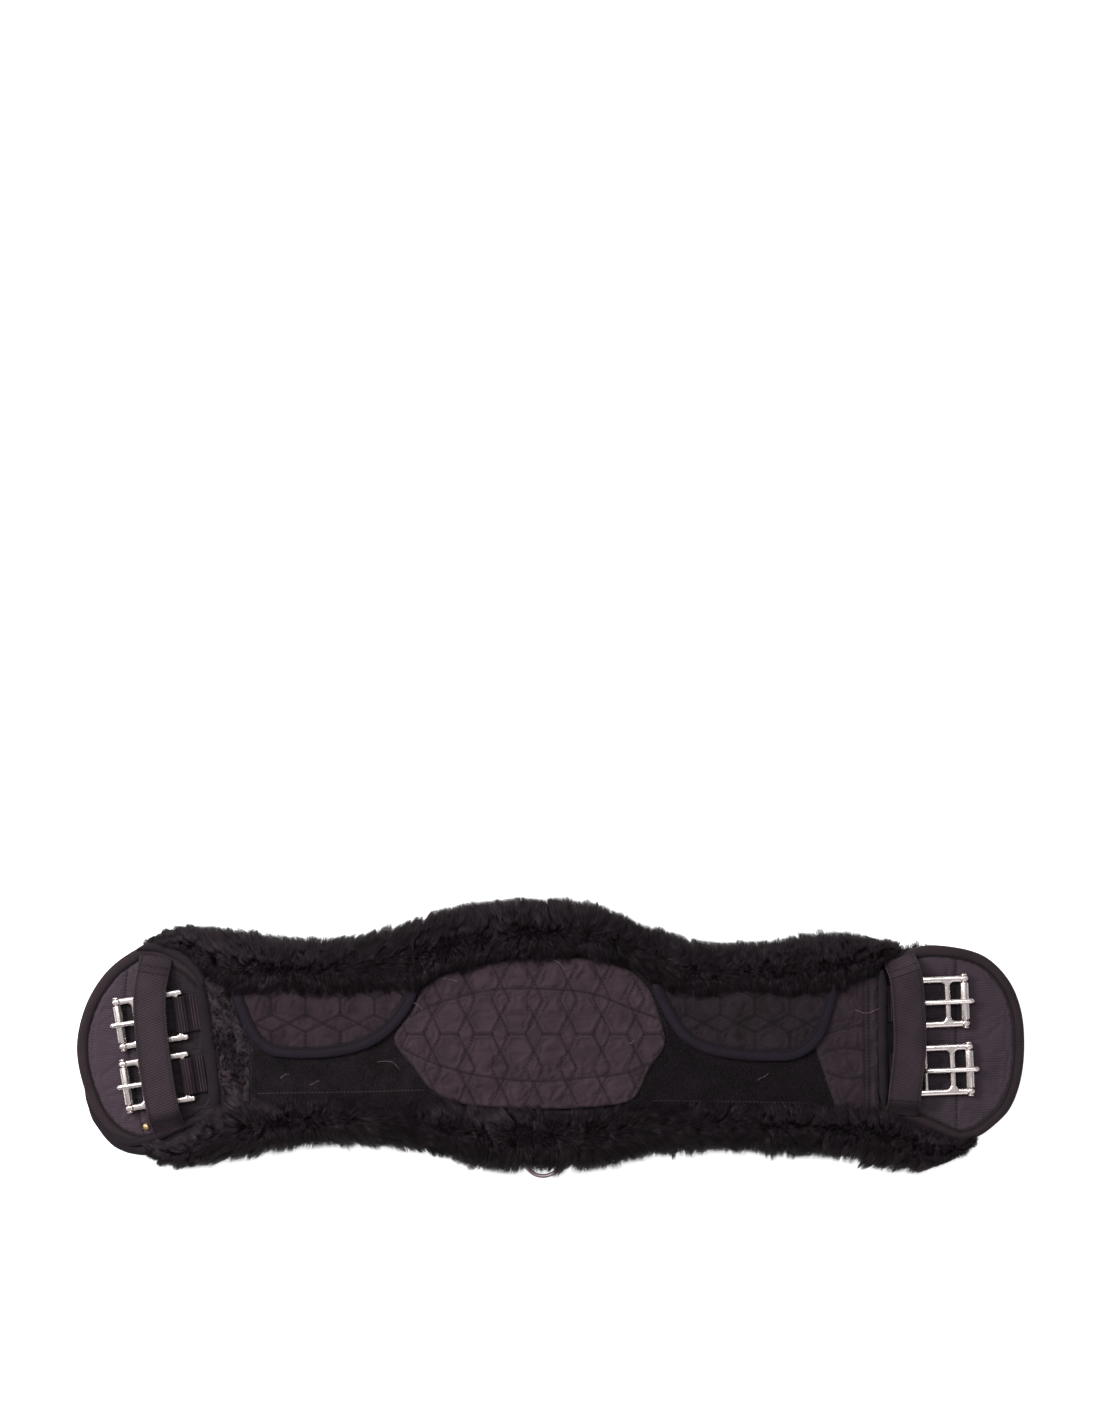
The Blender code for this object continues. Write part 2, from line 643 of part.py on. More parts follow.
def frame_mesh():
    """Side rails with eyes for the roller pin, a middle bar, a round tongue bar and a rear bar."""
    wide, inside = FRAME_HALF_WIDTH, FRAME_HALF_INSIDE
    middle_front, middle_rear = MIDDLE_BAR
    rear_front, rear_rear = REAR_BAR
    notch_half = inside + GAP
    boundary = rounded([
        (FRAME_NOSE, -wide, 0.0012), (FRAME_NOSE, -inside, 0.0012), (-middle_front, -inside, 0.0015),
        (-middle_front, inside, 0.0015), (FRAME_NOSE, inside, 0.0012), (FRAME_NOSE, wide, 0.0012),
        (-FRAME_LENGTH, wide, 0.0018), (-FRAME_LENGTH, notch_half, 0.0018), (-rear_rear, notch_half, 0.0006),
        (-rear_rear, -notch_half, 0.0006), (-FRAME_LENGTH, -notch_half, 0.0018),
        (-FRAME_LENGTH, -wide, 0.0018)], 2)
    window_half = inside - GAP
    window = rounded([(-middle_rear, -window_half, 0.0015), (-middle_rear, window_half, 0.0015),
                      (-rear_front, window_half, 0.0008), (-rear_front, -window_half, 0.0008)], 2)
    frame = add_object("frame", plate_mesh([boundary, window], -FRAME_HALF_THICKNESS, FRAME_HALF_THICKNESS),
                       "steel")
    bevel(frame, 0.0006)
    eye_inside, eye_outside = inside + GAP, wide - GAP
    helpers = [crossing_cylinder("eye_a", EYE_RADIUS, 0, eye_inside, eye_outside),
               crossing_cylinder("eye_b", EYE_RADIUS, 0, -eye_outside, -eye_inside),
               crossing_cylinder("tongue_bar", TONGUE_BAR_RADIUS, -TONGUE_BAR, -inside - 0.002,
                                 inside + 0.002)]
    for helper in helpers:
        boolean(frame, helper, "UNION")
    bore = crossing_cylinder("pin_bore", PIN_RADIUS + GAP, 0, -2 * wide, 2 * wide)
    boolean(frame, bore, "DIFFERENCE")
    mesh = frozen_mesh(frame)
    for helper in helpers + [bore]:
        bpy.data.objects.remove(helper)
    return mesh


def lay_along_y(mesh):
    for vertex in mesh.vertices:
        x, y, z = vertex.co
        vertex.co = (x, -z, y)


def pin_mesh():
    inner = FRAME_HALF_WIDTH + GAP
    outer = inner + PIN_HEAD_LENGTH
    rounding = 0.0005
    end = [(0, outer), (PIN_HEAD_RADIUS - rounding, outer), (PIN_HEAD_RADIUS, outer - rounding),
           (PIN_HEAD_RADIUS, inner), (PIN_RADIUS, inner)]
    mesh = frozen_mesh(turned("pin", end + [(r, -h) for r, h in end[::-1]], 12, "steel"))
    lay_along_y(mesh)
    return mesh


def roller_mesh():
    half = FRAME_HALF_INSIDE - 0.0004
    rounding = 0.0006
    inner = PIN_RADIUS + ROLLER_CLEARANCE
    profile = [(inner, half), (ROLLER_RADIUS - rounding, half), (ROLLER_RADIUS, half - rounding),
               (ROLLER_RADIUS, rounding - half), (ROLLER_RADIUS - rounding, -half), (inner, -half)]
    mesh = frozen_mesh(turned("roller", profile, 16, "steel"))
    lay_along_y(mesh)
    return mesh


def tongue_mesh():
    """A flat tongue coiled round its bar at the origin, resting on the roller."""
    coil_inside = TONGUE_BAR_RADIUS + GAP
    coil = coil_inside + TONGUE_THICKNESS
    roller_top = ROLLER_RADIUS + GAP
    tip = TONGUE_BAR + TONGUE_REACH
    shank = [(TONGUE_BAR, roller_top), (tip - 0.0020, roller_top - 0.0004), (tip, roller_top + 0.0004),
             (tip - 0.0010, roller_top + 0.0014), (TONGUE_BAR + 0.002, roller_top + TONGUE_THICKNESS)]
    outer = shank + arc((0, 0), coil, 88, 378, 13)
    hole = arc((0, 0), coil_inside, 0, 330, 12)
    return side_view_mesh([outer, hole], TONGUE_WIDTH)


def elastic_mesh():
    bar_half_length = (REAR_BAR[1] - REAR_BAR[0]) / 2
    low = BELT_BOTTOM - BUCKLE_HEIGHT
    loops = folded_webbing(bar_half_length, FRAME_HALF_THICKNESS, low, ELASTIC_LENGTH)
    mesh = side_view_mesh(loops, ELASTIC_WIDTH)
    bar_centre = sum(REAR_BAR) / 2
    for vertex in mesh.vertices:
        vertex.co.x -= bar_centre
    return mesh


def buckles():
    """Four alike buckles, each on an empty at its roller's axis and turned to its heading."""
    pieces = {"frame": frame_mesh(), "pin": pin_mesh(), "roller": roller_mesh(), "tongue": tongue_mesh(),
              "elastic": elastic_mesh()}
    for place, (x, y, heading) in BUCKLES.items():
        mount = bpy.data.objects.new("buckle_" + place, None)
        part_collection.objects.link(mount)
        mount.location = (x, y, BUCKLE_HEIGHT)
        mount.rotation_euler.z = heading
        for piece, mesh in pieces.items():
            obj = add_object(f"{place}_{piece}", mesh.copy(), "webbing" if piece == "elastic" else "steel")
            obj.parent = mount
            if piece == "tongue":
                obj.location.x = -TONGUE_BAR


def shade_round_pieces():
    for obj in part_collection.objects:
        if obj.type == "MESH":
            obj.data.shade_smooth()
            obj.data.set_sharp_from_angle(angle=math.radians(35))


def main():
    clear_scene()
    for collection in (part_collection, cutter_collection):
        bpy.context.scene.collection.children.link(collection)
    fleece_lining()
    fleece_rolls()
    cover_base()
    core()
    cover_panels()
    mouth_bindings()
    cover_bindings()
    flap("left", FLAP_LEFT, -0.212, -0.142)
    flap("right", FLAP_RIGHT, 0.117, 0.187)
    end_pad("left", PAD_LEFT, 1)
    end_pad("right", PAD_RIGHT, -1)
    keeper_band("left", BAND_LEFT, 0.036, -0.054)
    keeper_band("right", BAND_RIGHT, 0.048, -0.046)
    rivet()
    d_ring()
    buckles()
    shade_round_pieces()


main()
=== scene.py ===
import math

import bmesh
import bpy
import numpy as np
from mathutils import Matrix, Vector, kdtree
from mathutils.geometry import delaunay_2d_cdt


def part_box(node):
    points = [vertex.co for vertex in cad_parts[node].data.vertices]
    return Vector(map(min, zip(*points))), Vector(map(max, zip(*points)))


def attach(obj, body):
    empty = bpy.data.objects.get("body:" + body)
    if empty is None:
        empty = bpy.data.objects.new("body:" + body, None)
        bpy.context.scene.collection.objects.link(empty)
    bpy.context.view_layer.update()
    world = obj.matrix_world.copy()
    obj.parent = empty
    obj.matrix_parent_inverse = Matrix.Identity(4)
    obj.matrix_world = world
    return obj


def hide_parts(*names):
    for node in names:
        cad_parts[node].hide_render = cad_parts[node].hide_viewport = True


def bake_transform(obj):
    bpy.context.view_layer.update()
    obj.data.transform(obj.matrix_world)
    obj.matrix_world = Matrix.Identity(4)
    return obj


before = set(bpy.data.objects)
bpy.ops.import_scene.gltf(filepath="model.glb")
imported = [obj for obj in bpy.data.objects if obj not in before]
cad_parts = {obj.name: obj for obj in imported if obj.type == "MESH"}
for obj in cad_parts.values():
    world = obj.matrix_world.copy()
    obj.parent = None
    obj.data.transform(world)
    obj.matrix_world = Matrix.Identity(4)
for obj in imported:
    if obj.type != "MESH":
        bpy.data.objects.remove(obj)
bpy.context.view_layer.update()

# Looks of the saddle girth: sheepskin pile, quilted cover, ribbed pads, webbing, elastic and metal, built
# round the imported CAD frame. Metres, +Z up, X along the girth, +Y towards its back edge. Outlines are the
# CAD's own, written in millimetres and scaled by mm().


def levels(node):
    """The lowest and the highest z of a CAD piece."""
    return [corner[2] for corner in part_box(node)]


# Heights of the layers, as in the CAD.
GAP = 0.0003
PANEL_BOTTOM, PANEL_TOP = levels("loop_field_left")
LENS_TOP = levels("lens_panel")[1]
FLAP_BOTTOM, FLAP_TOP = levels("flap_left")
FLAP_TAPE_BOTTOM, FLAP_TAPE_TOP = levels("flap_binding_left")
PAD_BOTTOM, PAD_TOP = levels("end_pad_left")
PAD_TAPE_TOP = levels("end_binding_left")[1]
BAND_TOP = levels("keeper_band_left")[1]
BASE_BOTTOM, BASE_TOP = levels("cover_base")
LINING_TOP = levels("fleece_lining")[1]
ELASTIC_BOTTOM = levels("left_back_elastic")[0]

PAD_TAPE_WIDTH = 0.0094
FLAP_TAPE_WIDTH = 0.009
BAND_WIDTH = 0.025
BAND_THICKNESS = 0.0018
WEBBING_THICKNESS = 0.0012
QUILT_PITCH = 0.0255
LINING_INSET = 0.0148


def mm(points):
    """The same points in metres."""
    return [tuple(value * 0.001 for value in point) for point in points]


# ---- outlines, as in the CAD ---------------------------------------------------------------------

FLEECE_BACK = mm([(-305, 71), (-286, 82), (-251, 84.5), (-196, 77), (-144, 79), (-98, 93), (-60, 102.5),
                  (-14, 106), (32, 102.5), (57, 93), (85, 82), (120, 73), (168, 74), (215, 81), (243, 76),
                  (280, 68)])
FLEECE_FRONT = mm([(-305, -89), (-286, -97), (-265, -100), (-213, -91), (-179, -84), (-127, -84),
                   (-83, -92), (-45, -101), (-5, -103), (35, -101), (72, -92), (133, -87), (168, -90),
                   (222, -93), (266, -100), (285, -102.5), (301, -97), (319, -81), (324, -74)])
ROLL_BACK_INNER = mm([(-306, 71), (-290, 71.5), (-270, 64), (-250, 46), (-230, 39), (-150, 38.5),
                      (-110, 39), (-90, 46.5), (-68, 55), (-30, 62), (12, 63.5), (46, 60), (70, 49),
                      (85, 39.5), (140, 38), (205, 38.5), (235, 48), (252, 60), (264, 66)])
ROLL_FRONT_INNER = mm([(-306, -80), (-286, -79), (-265, -72), (-250, -60), (-235, -51), (-150, -49),
                       (-90, -53), (-45, -56), (0, -56.5), (45, -55.5), (90, -53), (160, -53), (235, -55),
                       (268, -66), (290, -74), (306, -79), (320, -77)])
PAD_LEFT = mm([(-256, 40), (-275, 57), (-303, 69), (-322, 61), (-339, 45), (-352, 21), (-357.5, -8),
               (-352, -38), (-341, -62), (-325, -77), (-305, -82), (-280, -75), (-250, -57)])
PAD_RIGHT = mm([(250, 56), (278, 69), (307, 68), (329, 60.5), (346, 43), (355, 21), (357.5, -5),
                (355, -31), (347, -53), (335, -66), (322, -75), (307, -78), (285, -69), (262, -60),
                (245, -54)])
LENS = mm([(-118, -1), (-104, -20), (-90, -38), (-72, -48), (-45, -52), (-5, -53.5), (38, -51.5),
           (62, -46), (75, -22), (86, -5), (82.5, 16), (71.5, 41), (46, 57.5), (12, 61), (-30, 59),
           (-68, 52), (-90, 43), (-98, 34), (-104.5, 20)])
FLAP_LEFT = mm([(-241, 37), (-238, 26), (-231, 9), (-222, -5), (-207, -13.5), (-170, -14.5), (-139, -8),
                (-120, 4), (-106, 21), (-99, 37)])
FLAP_RIGHT = mm([(76.5, 37), (86, 17), (99, -1), (117, -11), (142, -16), (168, -17), (183, -16),
                 (197, -9), (206, 2), (212, 18), (217, 37)])
MOUTH_LEFT = mm([(-264, 43), (-251, -56)])
MOUTH_RIGHT = mm([(249.5, 52), (250.5, -51)])
BAND_LEFT = mm([(-297, 62), (-300.5, 36), (-300, 13), (-296, -23), (-290.5, -54), (-286, -72)])
BAND_RIGHT = mm([(262, 61), (266.5, 47), (268.5, 27), (269.5, -6), (266, -39), (264.5, -58.5)])
FLAP_REAR = 0.0415
PANEL_BACK = 0.046
PANEL_FRONT = -0.060
LOOP_LEFT_JOIN = ((-0.226, PANEL_BACK), (-0.226, PANEL_FRONT))
LOOP_RIGHT_JOIN = ((0.1965, PANEL_BACK), (0.1965, 0.0), (0.2170, PANEL_FRONT))

LOOPS_PER_AREA = 0.85e6

# Seams of the centre panel: two arcs that follow its outline, from left to right.
LENS_BACK_ARC = mm([(-112, 12), (-98, 21), (-70, 31), (-41, 37), (-5, 37.5), (30, 34), (57, 24), (86, 13)])
LENS_FRONT_ARC = mm([(-110, -8), (-94, -16), (-63, -26), (-30, -31), (-5, -32), (30, -29), (57, -26),
                     (80, -17)])

# Each buckle: roller axis in x and y, and the heading from its rear bar to its roller.
BUCKLES = {
    "left_back": (-0.3241, 0.0105, math.radians(189)),
    "left_front": (-0.3190, -0.0359, math.radians(189)),
    "right_back": (0.3117, 0.0282, math.radians(2.5)),
    "right_front": (0.3154, -0.0229, math.radians(2.5)),
}
BUCKLE_HEIGHT = 0.028
ROLLER_RADIUS = 0.0034
REAR_BAR = 0.045
REAR_BAR_HALF = (0.0015, 0.0019)
TONGUE_BAR = 0.033
TONGUE_BAR_RADIUS = 0.0016
# The pile is parted round the D-ring: this far each way from its middle, and no further forward than CLEAR.
D_RING_X = -0.0056
D_RING_HALF = 0.0150
D_RING_CLEAR = -0.1008


# ---- plan curves ---------------------------------------------------------------------------------


def smooth(points, steps, closed=False):
    """A curve through the points, with this many pieces between neighbours."""
    points = np.array(points, float)
    if closed:
        extended = np.vstack([points[-1], points, points[0], points[1]])
    else:
        extended = np.vstack([2 * points[0] - points[1], points, 2 * points[-1] - points[-2]])
    curve = []
    for before, start, end, after in zip(extended, extended[1:], extended[2:], extended[3:]):
        length = np.linalg.norm(end - start)
        leave = (end - before) / (np.linalg.norm(start - before) + length) * length
        arrive = (after - start) / (np.linalg.norm(after - end) + length) * length
        for t in np.arange(steps) / steps:
            curve.append((2 * t**3 - 3 * t**2 + 1) * start + (t**3 - 2 * t**2 + t) * leave
                         + (3 * t**2 - 2 * t**3) * end + (t**3 - t**2) * arrive)
    if not closed:
        curve.append(points[-1])
    return np.array(curve)


def even(points, spacing=0.001, closed=False):
    """The polyline's points at an even spacing."""
    points = np.array(points, float)
    if closed:
        points = np.vstack([points, points[:1]])
    along = np.concatenate([[0], np.cumsum(np.linalg.norm(np.diff(points, axis=0), axis=1))])
    count = max(2, round(along[-1] / spacing) + 1)
    wanted = np.linspace(0, along[-1], count)
    result = np.column_stack([np.interp(wanted, along, column) for column in points.T])
    return result[:-1] if closed else result


def directions(points, closed=False):
    """The unit vector along the curve at each of its points."""
    points = np.array(points, float)
    if closed:
        direction = np.roll(points, -1, 0) - np.roll(points, 1, 0)
    else:
        direction = np.gradient(points, axis=0)
    return direction / np.linalg.norm(direction, axis=1)[:, None]


def lefts(points, closed=False):
    """The unit vector to the left of the curve at each of its points."""
    direction = directions(points, closed)
    return np.column_stack([-direction[:, 1], direction[:, 0]])


def moved_aside(points, distance, closed=False):
    """The plan curve moved to the left of its own direction by this distance."""
    return np.array(points)[:, :2] + lefts(points, closed) * distance


def edge_at(points, x):
    """The y of a left-to-right edge at each x."""
    curve = smooth(points, 8)
    return np.interp(x, curve[:, 0], curve[:, 1])


def inside(points, outline):
    """Which points lie inside the closed outline."""
    points, outline = np.array(points), np.array(outline)
    found = np.zeros(len(points), bool)
    for (x0, y0), (x1, y1) in zip(outline, np.roll(outline, -1, 0)):
        crosses = (y0 > points[:, 1]) != (y1 > points[:, 1])
        slope = (x1 - x0) / (y1 - y0) if y1 != y0 else 0
        found ^= crosses & (points[:, 0] < x0 + (points[:, 1] - y0) * slope)
    return found


def nearest(points, others):
    """Distance from each point to the nearest of the others."""
    result = np.empty(len(points))
    for start in range(0, len(points), 2000):
        part = points[start:start + 2000]
        result[start:start + 2000] = np.sqrt(((part[:, None] - others[None]) ** 2).sum(-1).min(1))
    return result


def wobble(points, scale, seed):
    """Smooth seeded noise from about -1 to 1, with features of this size."""
    random = np.random.default_rng(seed)
    points = np.array(points, float)
    total = np.zeros(len(points))
    for _ in range(7):
        wave = random.normal(size=points.shape[1]) * 2.2 / scale
        total += np.sin(points @ wave + random.uniform(0, 2 * math.pi))
    return total / 3.5


def raised(flat, height):
    """Plan points lifted to one height, or each to its own."""
    return np.column_stack([flat, np.broadcast_to(height, len(flat))])


def circle(count, radius=1.0, height=0.0):
    """Points round a section, as (aside, z)."""
    return [(radius * math.cos(angle), height + radius * math.sin(angle))
            for angle in np.linspace(0, 2 * math.pi, count, endpoint=False)]


def scattered(random, count, outline, limit):
    """Seeds spread over the outline's box, and those of them that lie inside the limit."""
    low, high = np.array(outline).min(0), np.array(outline).max(0)
    seeds = random.uniform(size=(count, 2)) * (high - low) + low
    return seeds[inside(seeds, limit)]


def ease(values, low, high):
    """0 at low, 1 at high, smooth between."""
    t = np.clip((np.array(values) - low) / (high - low), 0, 1)
    return t * t * (3 - 2 * t)


# ---- materials -----------------------------------------------------------------------------------


class Material:
    """A Principled material whose nodes are added in short calls."""

    def __init__(self, name, roughness, metallic=0.0, sheen=0.0, specular=0.5):
        self.material = bpy.data.materials.new(name)
        self.material.use_nodes = True
        self.tree = self.material.node_tree
        self.shader = self.tree.nodes["Principled BSDF"]
        self.shader.inputs["Roughness"].default_value = roughness
        self.shader.inputs["Metallic"].default_value = metallic
        self.shader.inputs["Specular IOR Level"].default_value = specular
        if sheen:
            self.shader.inputs["Sheen Weight"].default_value = sheen
            self.shader.inputs["Sheen Roughness"].default_value = 0.5

    def node(self, kind, inputs=None, **settings):
        made = self.tree.nodes.new(kind)
        for name, value in settings.items():
            setattr(made, name, value)
        for name, value in (inputs or {}).items():
            if isinstance(value, bpy.types.NodeSocket):
                self.tree.links.new(value, made.inputs[name])
            else:
                made.inputs[name].default_value = value
        return made

    def place(self, turn=0.0, stretch=(1, 1, 1)):
        """Object coordinates in metres, turned about Z and stretched."""
        where = self.node("ShaderNodeTexCoord").outputs["Object"]
        inputs = {"Vector": where, "Rotation": (0, 0, turn), "Scale": stretch}
        return self.node("ShaderNodeMapping", inputs).outputs["Vector"]

    def noise(self, place, size, detail=3.0):
        inputs = {"Vector": place, "Scale": 1 / size, "Detail": detail}
        return self.node("ShaderNodeTexNoise", inputs).outputs["Fac"]

    def cells(self, place, size):
        return self.node("ShaderNodeTexVoronoi", {"Vector": place, "Scale": 1 / size}).outputs["Distance"]

    def bands(self, place, pitch, axis="X", distortion=0.0):
        inputs = {"Vector": place, "Scale": math.pi / 10 / pitch, "Distortion": distortion}
        made = self.node("ShaderNodeTexWave", inputs, wave_type="BANDS", bands_direction=axis)
        return made.outputs["Fac"]

    def mixed(self, first, second, operation="ADD"):
        return self.node("ShaderNodeMath", {0: first, 1: second}, operation=operation).outputs[0]

    def ramp(self, value, stops):
        """Colours from the value, at these (position, colour) stops."""
        made = self.node("ShaderNodeValToRGB", {"Fac": value})
        elements = made.color_ramp.elements
        while len(elements) < len(stops):
            elements.new(0.5)
        for element, (position, colour) in zip(elements, stops):
            element.position = position
            element.color = (*colour, 1)
        return made.outputs["Color"]

    def colour(self, socket):
        self.tree.links.new(socket, self.shader.inputs["Base Color"])

    def with_painted_shade(self, socket, depth=0.85):
        """The colour with painted shade: darker where the mesh's own "dark" value is high, in seams, grooves
        and folds and where shadow falls on the cloth.
        """
        dark = self.node("ShaderNodeAttribute", attribute_name="dark").outputs["Fac"]
        share = self.mixed(dark, depth, "MULTIPLY")
        made = self.node("ShaderNodeMix", {0: share, 6: socket, 7: (0.001, 0.0007, 0.0009, 1)},
                         data_type="RGBA")
        return made.outputs[2]

    def roughen(self, value, low, high):
        made = self.node("ShaderNodeMapRange", {"Value": value, "To Min": low, "To Max": high})
        self.tree.links.new(made.outputs["Result"], self.shader.inputs["Roughness"])

    def bump(self, height, depth, strength=1.0):
        normal = self.node("ShaderNodeBump", {"Height": height, "Distance": depth, "Strength": strength})
        self.tree.links.new(normal.outputs["Normal"], self.shader.inputs["Normal"])


def shade(colour, factor):
    return tuple(channel_shade * factor for channel_shade in colour)


def woven_material(name, colour, pitch=0.0008, depth=0.00015, contrast=0.4):
    """Plain weave: two crossed sets of threads over soft patches of tone."""
    roughness = 0.8
    made = Material(name, roughness, sheen=0.04, specular=0.1)
    place = made.place()
    warp, weft = made.bands(place, pitch, "X"), made.bands(place, pitch, "Y")
    threads = made.mixed(warp, weft, "MULTIPLY")
    patches = made.noise(place, 0.012)
    fuzz = made.noise(place, 0.0009, 2.0)
    height = made.mixed(threads, fuzz)
    tone = made.mixed(patches, made.mixed(height, 0.35, "MULTIPLY"))
    weave = made.ramp(tone, [(0.35, shade(colour, 1 - contrast)), (0.95, shade(colour, 1 + contrast))])
    made.colour(made.with_painted_shade(weave))
    made.roughen(patches, roughness - 0.08, roughness + 0.08)
    made.bump(height, depth)
    return made.material


def ribbed_material(name, colour, pitch, turn=0.0, roughness=0.65, depth=0.0002, contrast=0.45):
    """Webbing or ribbed cloth: strong ribs one way and fine threads across them."""
    made = Material(name, roughness, sheen=0.03, specular=0.12)
    place = made.place(turn)
    ribs = made.bands(place, pitch, "X")
    threads = made.bands(place, 0.0006, "Y", 0.6)
    wear = made.noise(place, 0.02, 4.0)
    height = made.mixed(ribs, made.mixed(threads, 0.12, "MULTIPLY"))
    tone = made.mixed(made.mixed(height, 0.5, "MULTIPLY"), wear)
    weave = made.ramp(tone, [(0.35, shade(colour, 1 - contrast)), (1.0, shade(colour, 1 + contrast))])
    made.colour(made.with_painted_shade(weave))
    made.roughen(wear, roughness - 0.1, roughness + 0.1)
    made.bump(height, depth)
    return made.material


def thread_material(name, colour, pitch=0.0011, roughness=0.7, depth=0.00008):
    """Smooth, finely ribbed cloth or thread."""
    return ribbed_material(name, colour, pitch, roughness=roughness, depth=depth)


def pile_material(name, colour):
    """Matted loop pile: coarse curls over fine fuzz and soft patches of tone, with painted shade in the gaps
    between curls.
    """
    made = Material(name, 0.95, sheen=0.1, specular=0.1)
    place = made.place()
    curls = made.cells(place, 0.0011)
    fuzz = made.noise(place, 0.0007, 4.0)
    patches = made.noise(place, 0.014)
    height = made.mixed(fuzz, curls, "SUBTRACT")
    tone = made.mixed(made.mixed(height, 0.6, "MULTIPLY"), patches)
    made.colour(made.ramp(tone, [(0.35, shade(colour, 0.3)), (0.85, shade(colour, 2.3))]))
    made.bump(height, 0.0006)
    return made.material


def metal_material(name, colour, roughness):
    """Plated metal with faint polishing marks and slightly duller patches."""
    made = Material(name, roughness, metallic=1.0)
    patches = made.noise(made.place(), 0.007, 2.0)
    marks = made.noise(made.place(stretch=(1, 4, 1)), 0.0025, 2.0)
    made.colour(made.ramp(patches, [(0.35, shade(colour, 0.94)), (0.65, colour)]))
    made.roughen(patches, roughness - 0.04, roughness + 0.05)
    made.bump(marks, 0.000004)
    return made.material


def underfur_material():
    """The dense underfur that shows between the strands."""
    made = Material("underfur", 0.95, specular=0.1)
    place = made.place()
    curls = made.noise(place, 0.004, 5.0)
    made.colour(made.ramp(curls, [(0.35, (0.0022, 0.0012, 0.0019)), (0.7, (0.0068, 0.0038, 0.0058))]))
    made.bump(curls, 0.003)
    return made.material


def foam_material():
    made = Material("core_foam_cells", 0.9, specular=0.2)
    cells = made.cells(made.place(), 0.0008)
    made.colour(made.ramp(cells, [(0.1, (0.005, 0.004, 0.0045)), (0.6, (0.014, 0.0115, 0.0125))]))
    made.bump(cells, 0.0002)
    return made.material


def strand_material(name, colour):
    """One tone of hair. It is the same all over, because its variation comes from strand to strand."""
    made = Material(name, 0.45, specular=0.22)
    made.shader.inputs["Base Color"].default_value = (*colour, 1)
    return made.material


# Fur tones of the lower and upper half of a hair, for four kinds of lock.
FUR_TONES = [
    [(0.0028, 0.0013, 0.0023), (0.0052, 0.0026, 0.0044)],
    [(0.0054, 0.0027, 0.0045), (0.0112, 0.0063, 0.0096)],
    [(0.0092, 0.0051, 0.0078), (0.0235, 0.0143, 0.0200)],
    [(0.0158, 0.0094, 0.0134), (0.0600, 0.0410, 0.0500)],
]
FUR_MATERIALS = [strand_material(f"pile_{lock}_{part}", colour)
                 for lock, tones in enumerate(FUR_TONES) for part, colour in enumerate(tones)]
UNDERFUR = underfur_material()

COTTON = (0.0286, 0.0180, 0.0237)
QUILTED_COTTON = woven_material("quilted_cotton", COTTON)
# The right flap's copy is darker than the left's: painted shade, for light falling off from left to right.
FLAP_COTTON = {side: woven_material("flap_cotton_" + side, shade(COTTON, tone), contrast=0.6)
               for side, tone in (("left", 0.63), ("right", 0.39))}
END_COTTON = {"left": woven_material("end_cotton_left", (0.0285, 0.0204, 0.0248), 0.0009, 0.0003),
              "right": woven_material("end_cotton_right", shade(COTTON, 0.67))}
COVER_CLOTH = woven_material("cover_cloth", shade(COTTON, 0.42), pitch=0.0009)
# The right field's copy is darker than the left's: painted shade, for light falling off from left to right.
LOOP_PILE = {"left": pile_material("loop_pile_left", (0.0070, 0.0042, 0.0060)),
             "right": pile_material("loop_pile_right", (0.0038, 0.0018, 0.0031))}
HOOKS = pile_material("hook_pile", (0.007, 0.005, 0.006))
NAVY_TAPE = thread_material("navy_tape", (0.0070, 0.0040, 0.0086))
PIPING_CLOTH = woven_material("piping_cloth", (0.0105, 0.0073, 0.0096))
COVER_TAPE = thread_material("cover_tape", (0.0088, 0.0058, 0.0084))
PAD_TAPE = thread_material("pad_tape", (0.0162, 0.0100, 0.0126))
NYLON_COLOUR = (0.0305, 0.0198, 0.0278)
WEBBING_COLOUR = (0.0212, 0.0134, 0.0178)
ELASTIC_COLOUR = (0.0172, 0.0098, 0.0138)
# The left pad's copy is brighter than the right's: painted light, for light falling off from left to right.
NYLON = {side: ribbed_material("ribbed_nylon_" + side, shade(NYLON_COLOUR, tone), 0.0019,
                               math.radians(turn), roughness=0.6, depth=0.00010, contrast=contrast)
         for side, turn, tone, contrast in (("left", 98, 1.14, 0.15), ("right", 87.5, 0.97, 0.25))}
WEBBING = {side: ribbed_material("webbing_" + side, WEBBING_COLOUR, 0.0019, math.radians(turn),
                                 contrast=0.5)
           for side, turn in (("left", 66), ("right", 108))}
PLAIN_WEBBING = ribbed_material("belt_webbing", WEBBING_COLOUR, 0.0016)
FOAM = foam_material()
NICKEL = metal_material("nickelled_steel", (0.82, 0.735, 0.725), 0.27)
# The D-ring's nickel is darkened: painted reflection of the dark fur round it.
NICKEL_PAINTED_DARK = metal_material("nickel_painted_dark", (0.25, 0.195, 0.205), 0.33)
BRASS = metal_material("brass", (0.62, 0.42, 0.22), 0.32)
THREAD = thread_material("thread", (0.0050, 0.0032, 0.0045), 0.0006, depth=0.00005)
LIGHT_THREAD = thread_material("light_thread", (0.055, 0.036, 0.045), 0.0006, depth=0.00005)
LINT = thread_material("lint", (0.16, 0.125, 0.135), 0.0008, 0.8, 0.00002)


# ---- meshes --------------------------------------------------------------------------------------


def add_object(name, data):
    obj = bpy.data.objects.new(name, data)
    bpy.context.scene.collection.objects.link(obj)
    return obj


def mesh_object(name, points, faces, materials):
    mesh = bpy.data.meshes.new(name)
    mesh.from_pydata([tuple(point) for point in points], [], [tuple(face) for face in faces])
    for material in materials:
        mesh.materials.append(material)
    mesh.shade_smooth()
    mesh.update()
    return add_object(name, mesh)


def sharpen(obj, degrees):
    obj.data.set_sharp_from_angle(angle=math.radians(degrees))


def even_shading(obj):
    """Keeps flat faces flat beside rounded edges."""
    modifier = obj.modifiers.new("shading", "WEIGHTED_NORMAL")
    modifier.weight = 100
    modifier.keep_sharp = True


